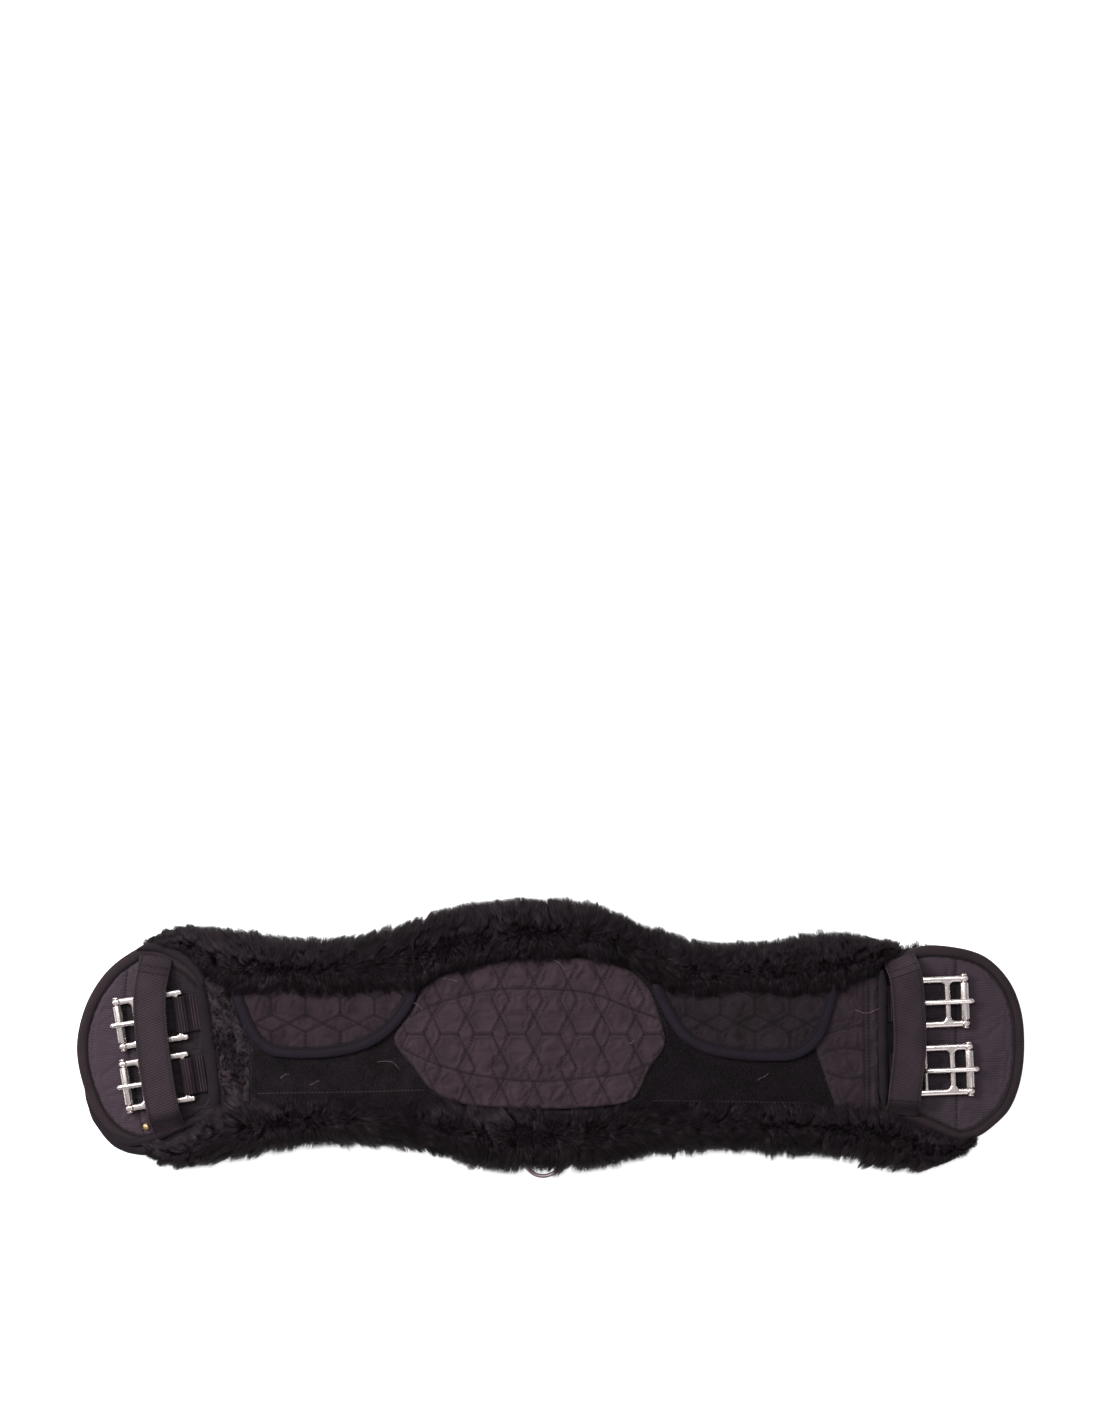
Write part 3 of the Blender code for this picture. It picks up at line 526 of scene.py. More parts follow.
def turn_outward(obj):
    solid = bmesh.new()
    solid.from_mesh(obj.data)
    bmesh.ops.recalc_face_normals(solid, faces=solid.faces)
    solid.to_mesh(obj.data)
    solid.free()


def paint_shade(obj, dark):
    """Stores the painted shade at each point, from 0 to 1, for the materials to read."""
    obj.data.attributes.new("dark", "FLOAT", "POINT").data.foreach_set("value", np.array(dark, np.float32))


def subdivide(obj):
    modifier = obj.modifiers.new("round", "SUBSURF")
    modifier.levels = modifier.render_levels = 1


def finish(obj, node=None, body="girth"):
    """Ties a piece to its body, and hides the CAD node that it replaces."""
    if node:
        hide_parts(node)
    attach(obj, body)


def lofted(rings, count, closed=False, start=0):
    """Faces through rings of this many points. Unless the rings come round again, the last two are caps."""
    faces = []
    for ring in range(rings if closed else rings - 1):
        row, following = start + ring * count, start + (ring + 1) % rings * count
        for index in range(count):
            other = (index + 1) % count
            faces.append((row + index, row + other, following + other, following + index))
    if not closed:
        last = start + (rings - 1) * count
        faces += [tuple(reversed(range(start, start + count))), tuple(range(last, last + count))]
    return faces


def slab(name, faces, flat, top, bottom, material):
    """A closed solid: a net of faces at its top, the same net below, and walls round the rim."""
    count = len(flat)
    points = np.vstack([top, raised(flat, bottom)])
    edges = {pair: True for face in faces for pair in zip(face, face[1:] + face[:1])}
    walls = [(a, b, b + count, a + count) for a, b in edges if (b, a) not in edges]
    backs = [tuple(index + count for index in face[::-1]) for face in faces]
    obj = mesh_object(name, points, faces + walls + backs, [material])
    turn_outward(obj)
    return obj


def swept(name, path, sections, material, closed=False):
    """A closed solid through one section per path point. Sections list (aside, z), aside to the left."""
    plan = np.array(path, float)[:, :2]
    points = [(*(place + left * aside), z)
              for place, left, section in zip(plan, lefts(plan, closed), sections) for aside, z in section]
    obj = mesh_object(name, points, lofted(len(path), len(sections[0]), closed), [material])
    turn_outward(obj)
    return obj


# ---- quilted sheets ------------------------------------------------------------------------------


def sheet_net(outline, lines, spacing):
    """A flat triangle net inside the outline with the lines among its edges, and its distance to them."""
    edge = even(outline, spacing, closed=True)
    seam_points, constraints = [edge], [(i, (i + 1) % len(edge)) for i in range(len(edge))]
    total = len(edge)
    for line in lines:
        points = even(line, spacing)
        keep = inside(points, outline) & (nearest(points, edge) > 0.5 * spacing)
        for index, (here, after) in enumerate(zip(keep, keep[1:])):
            if here and after:
                number = total + int(keep[:index].sum())
                constraints.append((number, number + 1))
        seam_points.append(points[keep])
        total += int(keep.sum())
    seams = np.vstack(seam_points)
    low, high = edge.min(0), edge.max(0)
    rows = np.arange(low[1], high[1], spacing * 0.866)
    lattice = np.array([(x + (row % 2) * spacing / 2, y) for row, y in enumerate(rows)
                        for x in np.arange(low[0], high[0], spacing)])
    lattice = lattice[inside(lattice, outline)]
    lattice = lattice[nearest(lattice, seams) > 0.62 * spacing]
    points = np.vstack([seams, lattice])
    made = delaunay_2d_cdt([Vector(point) for point in points], constraints, [], 1, 1e-7)
    flat = np.array([tuple(point) for point in made[0]])
    faces = [tuple(face) for face in made[2]]
    return flat, faces, nearest(flat, seams)


# The batting behind the cloth holds it this many times higher than air pressure alone.
BATTING_LIFT = 1.7


def inflated(flat, faces, held, pressure, cap):
    """Cloth of this net, held along its seams and blown up by pressure: how far each point moves."""
    obj = mesh_object("cloth", raised(flat, 0.0), faces, [])
    group = obj.vertex_groups.new(name="held")
    group.add([int(i) for i in np.flatnonzero(held)], 1.0, "REPLACE")
    cloth = obj.modifiers.new("cloth", "CLOTH")
    settings = {"quality": 4, "mass": 0.2, "tension_stiffness": 12, "compression_stiffness": 12,
                "shear_stiffness": 6, "bending_stiffness": 0.4, "vertex_group_mass": "held",
                "shrink_min": -0.10, "use_pressure": True, "uniform_pressure_force": pressure}
    for setting, value in settings.items():
        setattr(cloth.settings, setting, value)
    cloth.settings.effector_weights.gravity = 0
    cloth.collision_settings.use_collision = False
    scene = bpy.context.scene
    scene.frame_start, scene.frame_end = 1, 20
    for number in range(1, 21):
        scene.frame_set(number)
    graph = bpy.context.evaluated_depsgraph_get()
    mesh = obj.evaluated_get(graph).to_mesh()
    moved = np.empty(len(mesh.vertices) * 3)
    mesh.vertices.foreach_get("co", moved)
    moved = moved.reshape(-1, 3)
    moved[:, :2] -= flat
    bpy.data.objects.remove(obj)
    scene.frame_set(1)
    rise = np.abs(moved[:, 2]) * BATTING_LIFT
    return 0.5 * moved[:, :2], cap * np.tanh(rise / cap)


def padded_sheet(name, outline, lines, material, low, seam_height, cap, pressure=10.0, spacing=0.0019,
                 shaded=None, seam_shade=0.2):
    """A closed quilted panel: cloth blown up between its seams over a flat back, with painted shade along the
    seams. shaded(flat) adds more painted shade.
    """
    flat, faces, distance = sheet_net(outline, lines, spacing)
    held = distance < 0.25 * spacing
    aside = np.zeros_like(flat)
    rise = cap * (1 - np.exp(-distance / 0.004))
    aside, rise = inflated(flat, faces, held, pressure, cap)
    rise *= 1 - 0.4 * np.exp(-(distance / 0.0012) ** 2)
    rise += 0.00010 * wobble(flat, 0.009, 5) * (distance > 0)
    top = raised(flat + aside, seam_height + rise)
    obj = slab(name, faces, flat, top, low, material)
    # Painted shade along the seams, where the cloth dips.
    dark = seam_shade * (distance < 0.25 * spacing)
    if shaded:
        dark = np.maximum(dark, shaded(flat))
    paint_shade(obj, np.concatenate([dark, dark]))
    return obj


def stitches(name, lines, surface, material, pitch=0.0027, length=0.0018, radius=0.00030):
    """Short thread stitches lying along the lines, on the top of the surface piece."""
    places = np.array([vertex.co for vertex in surface.data.vertices])
    places = places[places[:, 2] > (places[:, 2].min() + places[:, 2].max()) / 2]
    tree = kdtree.KDTree(len(places))
    for index, (x, y, _) in enumerate(places):
        tree.insert((x, y, 0), index)
    tree.balance()
    points, faces = [], []
    for line in lines:
        path = even(line, pitch)
        for centre, direction in zip(path, directions(path)):
            near = [places[found[1], 2] for found in tree.find_n((*centre, 0), 3)]
            add_stitch(points, faces, (*centre, max(near) + radius * 0.3), direction, length, radius)
    return mesh_object(name, points, faces, [material])


def sewn(name, lines, limit, surface):
    """Stitches along the parts of the lines that lie inside the limit."""
    kept = [line[inside(line, limit)] for line in lines]
    return stitches(name, [line for line in kept if len(line) > 3], surface, THREAD)


def add_stitch(points, faces, centre, direction, length, radius):
    """One stitch: a short spindle with four sides."""
    x, y, z = centre
    dx, dy = direction[:2]
    start = len(points)
    for along, girth in ((-0.5, 0.25), (-0.3, 1.0), (0.3, 1.0), (0.5, 0.25)):
        ahead = along * length
        for aside, up in circle(4, radius * girth, (girth - 1) / 2 * radius):
            points.append((x + dx * ahead - dy * aside, y + dy * ahead + dx * aside, z + up))
    faces += lofted(4, 4, start=start)


# ---- fur -----------------------------------------------------------------------------------------

MOST_STRANDS = 18000


def strand_mesh(name, roots, middles, tips, width, lock, random):
    """Closed three-sided hairs that taper and bend from root to tip, with one tone for each half."""
    count = len(roots)
    rings = []
    across = random.normal(size=(count, 3))
    for t, girth in ((0.0, 1.0), (0.55, 0.8)):
        place = (1 - t) ** 2 * roots + 2 * t * (1 - t) * middles + t * t * tips
        tangent = 2 * (1 - t) * (middles - roots) + 2 * t * (tips - middles)
        tangent /= np.linalg.norm(tangent, axis=1)[:, None] + 1e-9
        side = across - tangent * (across * tangent).sum(1)[:, None]
        side /= np.linalg.norm(side, axis=1)[:, None] + 1e-9
        other = np.cross(tangent, side)
        for angle in (0, 2 * math.pi / 3, 4 * math.pi / 3):
            around = math.cos(angle) * side + math.sin(angle) * other
            rings.append(place + (width * girth)[:, None] * around)
    points = np.stack([*rings, tips], axis=1).reshape(-1, 3)
    quads = [(0, 1, 4, 3), (1, 2, 5, 4), (2, 0, 3, 5)]
    triangles = [(3, 4, 6), (4, 5, 6), (5, 3, 6), (2, 1, 0)]
    pattern = np.concatenate([np.ravel(quads), np.ravel(triangles)])
    halves = np.array([0, 0, 0, 1, 1, 1, 0])
    loops = (pattern[None] + (len(rings) + 1) * np.arange(count)[:, None]).ravel()
    totals = np.tile([4] * 3 + [3] * 4, count)
    starts = np.concatenate([[0], np.cumsum(totals)[:-1]])
    mesh = bpy.data.meshes.new(name)
    mesh.vertices.add(len(points))
    mesh.vertices.foreach_set("co", points.ravel())
    mesh.loops.add(len(loops))
    mesh.loops.foreach_set("vertex_index", loops)
    mesh.polygons.add(len(totals))
    mesh.polygons.foreach_set("loop_start", starts)
    mesh.polygons.foreach_set("loop_total", totals)
    for material in FUR_MATERIALS:
        mesh.materials.append(material)
    mesh.polygons.foreach_set("material_index", (lock[:, None] * 2 + halves[None]).ravel())
    mesh.update(calc_edges=True)
    mesh.shade_smooth()
    return add_object(name, mesh)


def grow(name, seeds, root_of, tip_of, random, tuft, width, pull=0.2, lean=0.0012):
    """Strands from seeds in a plane of two parameters. Those of one tuft lean together and share a tone."""
    span = seeds.max(0) - seeds.min(0)
    tufts = int(span[0] * span[1] / tuft**2)
    centres = seeds.min(0) + random.uniform(size=(tufts, 2)) * span
    owner = np.empty(len(seeds), int)
    for start in range(0, len(seeds), 2000):
        part = seeds[start:start + 2000]
        owner[start:start + 2000] = ((part[:, None] - centres[None]) ** 2).sum(-1).argmin(1)
    tuft_lean = random.normal(size=(tufts, 3)) * (lean, lean, lean / 2)
    reach = np.clip(random.normal(1.0, 0.035, size=tufts), 0.93, 1.06)
    roots = root_of(seeds)
    full_tips = tip_of(seeds)
    tips = full_tips + pull * (tip_of(centres)[owner] - full_tips) + tuft_lean[owner]
    stretch = reach[owner] * np.clip(random.normal(0.97, 0.05, len(seeds)), 0.8, 1.06)
    tips = roots + (tips - roots) * stretch[:, None] + random.normal(size=tips.shape) * 0.0005
    tips[:, 2] = np.maximum(tips[:, 2], 0.0006)
    middles = 0.5 * (roots + tips) + random.normal(size=tips.shape) * 0.0009
    middles += 0.25 * (full_tips - 0.5 * (roots + tips))
    middles[:, 2] = np.maximum(middles[:, 2], 0.0015)
    girth = width * random.uniform(0.7, 1.25, len(seeds))
    chances = (0.32, 0.34, 0.25, 0.09)
    lock = np.where(random.uniform(size=len(seeds)) < 0.3, random.choice(4, tufts, p=chances)[owner],
                    random.choice(4, len(seeds), p=chances))
    order = np.argsort(seeds[:, 0])
    parts = np.array_split(order, math.ceil(len(order) / MOST_STRANDS))
    return [strand_mesh(f"{name}_{number}", roots[part], middles[part], tips[part], girth[part],
                        lock[part], random) for number, part in enumerate(parts, 1)]


class Roll:
    """One fur roll: the curves where its hairs start and end, for an x and a share u round its section."""

    girth = 0.075
    ROOT_CURVE = [(0.0, 0.022, 0.008), (0.15, 0.018, 0.013), (0.30, 0.015, 0.021), (0.45, 0.018, 0.026),
                  (0.62, 0.026, 0.0290), (0.82, -0.015, 0.0295), (1.0, -0.0090, 0.0287)]
    TIP_CURVE = [(0.0, 0.006, 0.0015), (0.15, -0.0005, 0.010), (0.30, 0.0005, 0.022), (0.45, 0.007, 0.033),
                 (0.62, 0.017, 0.0382), (0.82, -0.0005, 0.0362), (1.0, 0.0070, 0.0316)]
    # The share of the roll's width that is added to inward, at each point of the two curves.
    WIDTH_SHARE = [0, 0, 0, 0, 0, 1, 1]

    def __init__(self, outer, inner, start, end, side):
        self.outer, self.inner, self.side = outer, inner, side
        self.start, self.end = start, end

    def section(self, x):
        outer = edge_at(self.outer, x)
        width = np.maximum(self.side * (outer - edge_at(self.inner, x)), 0.003)
        return outer, width

    def shrunk(self, width):
        """How far a section is narrowed and lowered where the roll is this wide."""
        return np.clip(width / 0.040, 0.35, 1), 0.6 + 0.4 * ease(width, 0.004, 0.024)

    def place(self, seeds, curve):
        """Points on a curve of (u, inward, z), where inward is scaled where the roll is narrow."""
        x, u = seeds[:, 0], seeds[:, 1] / self.girth
        outer, width = self.section(x)
        us, inward, z = np.array(curve).T
        narrow, lift = self.shrunk(width)
        s = np.interp(u, us, inward) * narrow + np.interp(u, us, self.WIDTH_SHARE) * width
        return np.column_stack([x, outer - self.side * s, 0.008 + (np.interp(u, us, z) - 0.008) * lift])

    def roots(self, seeds):
        return self.place(seeds, self.ROOT_CURVE)

    def tips(self, seeds):
        x, u = seeds[:, 0], seeds[:, 1] / self.girth
        crest = u + 0.07 * wobble(seeds[:, :1], 0.030, 16)
        combed = 0.05 * wobble(seeds, 0.022, 15) - 0.08
        combed *= (1 - ease(crest, 0.45, 0.92)) * ease(u, 0.05, 0.25)
        laid = np.column_stack([x, (u + combed) * self.girth])
        places = self.place(laid, self.TIP_CURVE)
        lean = 0.0080 * wobble(seeds, 0.042, 11) + 0.0040 * wobble(seeds, 0.017, 12)
        lean *= 1.0 if self.side > 0 else 1.6
        lean *= ease(x, self.start, self.start + 0.02) * (1 - ease(x, self.end - 0.02, self.end))
        lean -= 0.003 * (1 - ease(x, self.start, self.start + 0.02))
        lean += 0.003 * ease(x, self.end - 0.02, self.end)
        places[:, 0] += lean
        wisps = ease(u, 0.75, 0.95)
        places[:, 1] += self.side * (0.0004 + 0.0026 * wisps) * wobble(seeds, 0.012, 13)
        places[:, 2] += 0.0010 * wobble(seeds, 0.012, 14)
        if self.side < 0:
            parted = np.abs(x - D_RING_X) < D_RING_HALF
            places[parted, 1] = np.maximum(places[parted, 1], D_RING_CLEAR)
        return places


# Outer side of a roll's underfur, as (inward, z).
SKIN_CURVE = [(0.026, 0.0275), (0.022, 0.010), (0.016, 0.006), (0.0095, 0.009), (0.0075, 0.018),
              (0.010, 0.026), (0.016, 0.0305)]


def roll_skin(name, roll):
    """The dark underfur inside a roll, a lumpy closed body that the strands grow from."""
    xs = np.arange(roll.start + 0.004, roll.end - 0.004, 0.004)
    outer, width = roll.section(xs)
    rings = []
    for x, y, w in zip(xs, outer, width):
        narrow, lift = roll.shrunk(w)
        ring = [(s * narrow, z) for s, z in SKIN_CURVE]
        ring += [(max(0.6 * w, 0.016 * narrow + 0.001), 0.0325), (w - 0.006 * narrow, 0.0312),
                 (w + 0.001, 0.0290), (w - 0.001, 0.0274)]
        rings.append([(x, y - roll.side * s, 0.008 + (z - 0.008) * lift) for s, z in ring])
    points = np.array(rings).reshape(-1, 3)
    points[:, 1] += 0.0010 * wobble(points, 0.010, 21)
    points[:, 2] += 0.0007 * wobble(points, 0.009, 22) * (points[:, 2] > 0.028)
    obj = mesh_object(name, points, lofted(len(rings), len(rings[0])), [UNDERFUR])
    turn_outward(obj)
    subdivide(obj)
    return obj


def fur_roll(name, outer, inner, start, end, side, strands, lean):
    """A fleece roll along a long edge: its underfur and its strands, parted round the D-ring in front."""
    roll = Roll(outer, inner, start, end, side)
    random = np.random.default_rng(strands)
    seeds = np.column_stack([random.uniform(start, end, strands),
                             random.beta(1.05, 0.95, strands) * Roll.girth])
    if side < 0:
        near = (np.abs(seeds[:, 0] - D_RING_X) < D_RING_HALF - 0.002) & (seeds[:, 1] < 0.30 * Roll.girth)
        seeds = seeds[~near]
    skin = roll_skin(name + "_underfur", roll)
    pieces = grow(name, seeds, roll.roots, roll.tips, random, tuft=0.0050, width=0.00019,
                  lean=lean)
    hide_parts(name)
    for piece in [skin, *pieces]:
        finish(piece)


def long_edge(points, side, start, end):
    """Plan points along a long edge of the fleece, well inside it, from one x to another."""
    return np.array([(x, edge_at(points, x) + side * LINING_INSET) for x in np.linspace(start, end, 40)])


def lining_outline():
    """The lining's edge, inside the rolls along its sides and bowed at its ends."""
    back = long_edge(FLEECE_BACK, -1, -0.290, 0.262)
    front = long_edge(FLEECE_FRONT, 1, 0.312, -0.292)
    right = mm([(284, 60), (304, 40), (312, 0), (318, -50), (323, -70), (319, -77)])
    left = mm([(-302, -60), (-304, 0), (-302, 52)])
    return np.vstack([back, right, front, left])


def lining():
    """The sheepskin under the girth: a lumpy skin, a fringe all round and short curls underneath."""
    random = np.random.default_rng(31)
    outline = lining_outline()
    core = moved_aside(even(outline, 0.004, closed=True), -0.004, closed=True)
    flat, faces, distance = sheet_net(core, [], 0.0045)
    low = 0.0042 + 0.0016 * wobble(flat, 0.012, 32) + 0.003 * np.exp(-distance / 0.004)
    skin = slab("lining_underfur", faces, flat, raised(flat, LINING_TOP - 0.0006), low, UNDERFUR)
    subdivide(skin)
    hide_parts("fleece_lining")

    edge = even(outline, closed=True)
    outward = -moved_aside(edge, 1.0, closed=True) + edge

    def along(seeds):
        index = np.clip((seeds[:, 0] / 0.001).astype(int), 0, len(edge) - 1)
        return edge[index], outward[index]

    turn = 1 if inside(edge[:1] + 0.003 * outward[:1], outline)[0] else -1

    def fringe_roots(seeds):
        place, way = along(seeds)
        depth = 0.009 - 0.004 * seeds[:, 1] / 0.014
        return raised(place + turn * way * depth[:, None], 0.0145 - 0.7 * seeds[:, 1])

    def fringe_tips(seeds):
        place, way = along(seeds)
        reach = 0.0035 + 0.0015 * wobble(seeds, 0.02, 33)
        reach += 0.010 * ease(place[:, 0], 0.255, 0.268) * (place[:, 1] > 0.045)
        reach += 0.008 * (1 - ease(place[:, 0], -0.300, -0.286)) * (np.abs(place[:, 1]) > 0.050)
        return raised(place - turn * way * reach[:, None], 0.0125 - 0.75 * seeds[:, 1])

    seeds = np.column_stack([random.uniform(0, len(edge) * 0.001, 20000), random.uniform(0, 0.014, 20000)])
    pieces = grow("lining_fringe", seeds, fringe_roots, fringe_tips, random, tuft=0.0045, width=0.00028,
                  pull=0.4)

    def under_roots(seeds):
        return raised(seeds, 0.0075)

    def under_tips(seeds):
        swirl = np.column_stack([wobble(seeds, 0.03, 34), wobble(seeds, 0.03, 35)])
        return raised(seeds + 0.009 * swirl, 0.0012)

    seeds = scattered(random, 46000, outline, core)
    pieces += grow("lining_curls", seeds, under_roots, under_tips, random, tuft=0.007, width=0.00045,
                   pull=0.5, lean=0.004)
    for piece in [skin, *pieces]:
        finish(piece)


# ---- cover ---------------------------------------------------------------------------------------


def quilt_lines(centre, rows, columns, turned=False, walls=True):
    """Hexagons in rows with slim diamonds between them: zigzags, and the short links that close each cell."""
    pitch, height = QUILT_PITCH, 0.026
    link = 0.0063
    lines = []
    for column in range(-columns, columns + 1):
        for side in (-1, 1):
            zigzag = []
            for half in range(-2 * rows, 2 * rows + 1):
                wide = pitch / 2 - 0.0002 if half % 2 else link
                zigzag.append((column * pitch + side * wide, half * height / 2))
            lines.append(zigzag)
        if walls:
            for row in range(-rows, rows + 1):
                lines.append([(column * pitch - link, row * height), (column * pitch + link, row * height)])
    if turned:
        lines = [[(y, x) for x, y in line] for line in lines]
    return [np.array(line) + centre for line in lines]


def lens_panel():
    """The centre panel: hexagons and diamonds, with two arcs that follow its outline."""
    outline = smooth(LENS, 6, closed=True)
    arcs = [smooth(LENS_BACK_ARC, 5), smooth(LENS_FRONT_ARC, 5)]
    centre_y = 0.0033
    zigzags = quilt_lines(np.array((0.0005, centre_y)), rows=2, columns=5, walls=False)
    middle = [np.array([(k * QUILT_PITCH - 0.006, centre_y), (k * QUILT_PITCH + 0.0068, centre_y)])
              for k in range(-4, 4)]
    lines = [even(line) for line in zigzags + middle + arcs]
    obj = padded_sheet("lens_quilt", outline, lines, QUILTED_COTTON, low=PANEL_BOTTOM,
                       seam_height=PANEL_BOTTOM + 0.0026, cap=0.0034)
    thread = sewn("lens_stitches", lines, moved_aside(outline, 0.001, closed=True), obj)
    finish_quilt(obj, thread, "lens_panel")


def finish_quilt(obj, thread, node):
    """Smooths a simulated panel and ties it and its stitches to the girth."""
    subdivide(obj)
    finish(obj, node)
    finish(thread)


def tape_section(width, low, high, stitch_dip, ripple):
    """Section of a folded binding tape, from its outer edge at 0 to its inner edge, as (aside, z)."""
    tall = high - low
    return [(0.0, low + 0.5 * tall), (0.0004, low + 0.8 * tall), (0.0013, high - 0.10 * tall),
            (0.30 * width, high + ripple), (0.52 * width, high + 0.6 * ripple),
            (0.72 * width, high - 0.05 * tall), (0.80 * width, high - stitch_dip),
            (0.88 * width, high - 0.10 * tall), (0.96 * width, high - 0.2 * tall),
            (width, high - 0.45 * tall), (0.97 * width, low + 0.2 * tall), (0.7 * width, low),
            (0.35 * width, low), (0.0012, low + 0.10 * tall), (0.0003, low + 0.25 * tall)]


def tape(name, path, width, low, high, material, turn=1, dip=0.0006):
    """A bound edge along a plan curve. turn is 1 where the bound panel lies to the left of the path."""
    path = even(path, 0.0022)
    ripple = 0.00022 * wobble(path, 0.0045, 41) + 0.0002 * wobble(path, 0.018, 42)
    sway = 0.0003 * wobble(path, 0.02, 43)
    sections = []
    for rise, shift in zip(ripple, sway):
        section = tape_section(width, low, high, dip, rise)
        sections.append([(turn * (aside + shift * aside / width), z) for aside, z in section])
    obj = swept(name, path, sections, material)
    # Painted shade in the stitch channel and along the tape's inner edge and underside.
    channel_shade = [0, 0, 0, 0, 0, 0.3, 0.9, 0.3, 0, 0.5, 0.8, 0.8, 0.8, 0.5, 0.2]
    paint_shade(obj, channel_shade * len(path))
    subdivide(obj)
    line = moved_aside(path, turn * 0.80 * width)
    return obj, [line]


def flap(side, outline, centre_x):
    """A closing flap: a quilted panel and its bound edge, closed off along the hinge line at its back."""
    hinge = np.array([(outline[0][0], FLAP_REAR), *outline, (outline[-1][0], FLAP_REAR)])
    edge = smooth(hinge, 6)
    inner = moved_aside(edge, FLAP_TAPE_WIDTH * 0.86)
    inner = inner[inner[:, 1] < FLAP_REAR]
    face = np.vstack([inner, [(inner[-1][0], FLAP_REAR), (inner[0][0], FLAP_REAR)]])
    cells = quilt_lines(np.array((centre_x, 0.0242)), rows=3, columns=2, turned=True)
    lines = [even(line) for line in cells]
    quilt = padded_sheet(f"flap_{side}_quilt", face, lines, FLAP_COTTON[side], low=FLAP_BOTTOM,
                         seam_height=FLAP_TOP - 0.0012, cap=0.0022)
    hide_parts("flap_" + side)
    limit = moved_aside(even(face, 0.002, True), 0.0015, closed=True)
    thread = sewn(f"flap_{side}_stitches", lines, limit, quilt)
    binding, seam = tape(f"flap_{side}_tape", edge, FLAP_TAPE_WIDTH, FLAP_TAPE_BOTTOM, FLAP_TAPE_TOP,
                         NAVY_TAPE)
    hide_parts("flap_binding_" + side)
    seam_thread = stitches(f"flap_{side}_tape_stitches", seam, binding, THREAD, 0.0026)
    subdivide(quilt)
    for piece in (quilt, thread, binding, seam_thread):
        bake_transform(piece)


def loop_field(side, outline, seam):
    """A field of loop pile: a matted slab under thousands of tiny loops, sewn along its front seam."""
    flat, faces, distance = sheet_net(outline, [], 0.0018)
    lumps = 0.00018 * wobble(flat, 0.0022, 51) + 0.00030 * wobble(flat, 0.016, 52)
    edge = 0.0007 * np.exp(-distance / 0.0012)
    top = raised(flat, PANEL_TOP - 0.0004 + lumps - edge)
    pile = slab(f"loop_field_{side}_pile", faces, flat, top, PANEL_BOTTOM, LOOP_PILE[side])
    finish(pile, "loop_field_" + side)
    random = np.random.default_rng(53)
    box_area = np.ptp(outline, axis=0).prod()
    seeds = scattered(random, int(box_area * LOOPS_PER_AREA), outline, outline)
    seeds = seeds[nearest(seeds, even(outline, closed=True)) > 0.001]
    loops = tiny_loops(f"loop_field_{side}_loops", seeds, PANEL_TOP - 0.0006, random)
    thread = stitches(f"loop_field_{side}_stitches", [smooth(seam, 4)], pile, LIGHT_THREAD)
    for piece in (loops, thread):
        finish(piece)


# Where the three sides of a thin fibre stand round its middle.
FIBRE_ANGLES = (0.5, 2.6, 4.7)
LOOP_RADIUS = 0.00010
LINT_RADIUS = 0.00013


def tiny_loops(name, seeds, height, random):
    """Small arches of thread: each is one bent three-sided fibre with both feet in the slab."""
    count = len(seeds)
    heading = random.uniform(0, 2 * math.pi, count)
    way = np.column_stack([np.cos(heading), np.sin(heading), np.zeros(count)])
    side = np.column_stack([-np.sin(heading), np.cos(heading), np.zeros(count)])
    reach = random.uniform(0.0006, 0.0011, count)[:, None]
    rise = random.uniform(0.0004, 0.0009, count)[:, None]
    feet = raised(seeds, height)
    up = np.array((0.0, 0.0, 1.0))
    rings = []
    for along, lift in ((-1.0, 0.0), (-0.6, 0.8), (0.1, 1.05), (0.8, 0.6), (1.0, 0.0)):
        place = feet + way * reach * along + up * rise * lift
        rings += [place + LOOP_RADIUS * (side * math.cos(angle) + up * math.sin(angle))
                  for angle in FIBRE_ANGLES]
    points = np.stack(rings, axis=1).reshape(-1, 3)
    sides = np.array(lofted(5, 3)[:-2])
    faces = (sides[None] + 15 * np.arange(count)[:, None, None]).reshape(-1, 4)
    return mesh_object(name, points, faces.tolist(), [FUR_MATERIALS[3]])


def cover_panels():
    """Loop fields beside the lens, and the quilted end panels beyond them."""
    seam = moved_aside(smooth(LENS, 6, closed=True), -0.0005, closed=True)

    def beside(side):
        """The lens seam at one end, from front to back, squared off to the field's edges."""
        part = seam[side * seam[:, 0] > 0.045]
        part = part[np.argsort(part[:, 1])]
        part = part[(part[:, 1] > -0.050) & (part[:, 1] < PANEL_BACK)]
        return np.vstack([[(part[0][0], PANEL_FRONT)], part, [(part[-1][0], PANEL_BACK)]])

    left = np.vstack([LOOP_LEFT_JOIN, beside(-1)])
    right = np.vstack([LOOP_RIGHT_JOIN[::-1], beside(1)[::-1]])
    loop_field("left", left, mm([(-219, -41.5), (-150, -40.5), (-96, -39)]))
    loop_field("right", right, mm([(78, -47), (130, -47.5), (196, -49)]))
    end_panel("left", MOUTH_LEFT, LOOP_LEFT_JOIN, 1)
    end_panel("right", MOUTH_RIGHT, LOOP_RIGHT_JOIN, -1)


def mouth_at(mouth, y):
    """The x of a mouth's straight line at this y."""
    (back_x, back_y), (front_x, front_y) = mouth
    return back_x + (front_x - back_x) * (y - back_y) / (front_y - back_y)


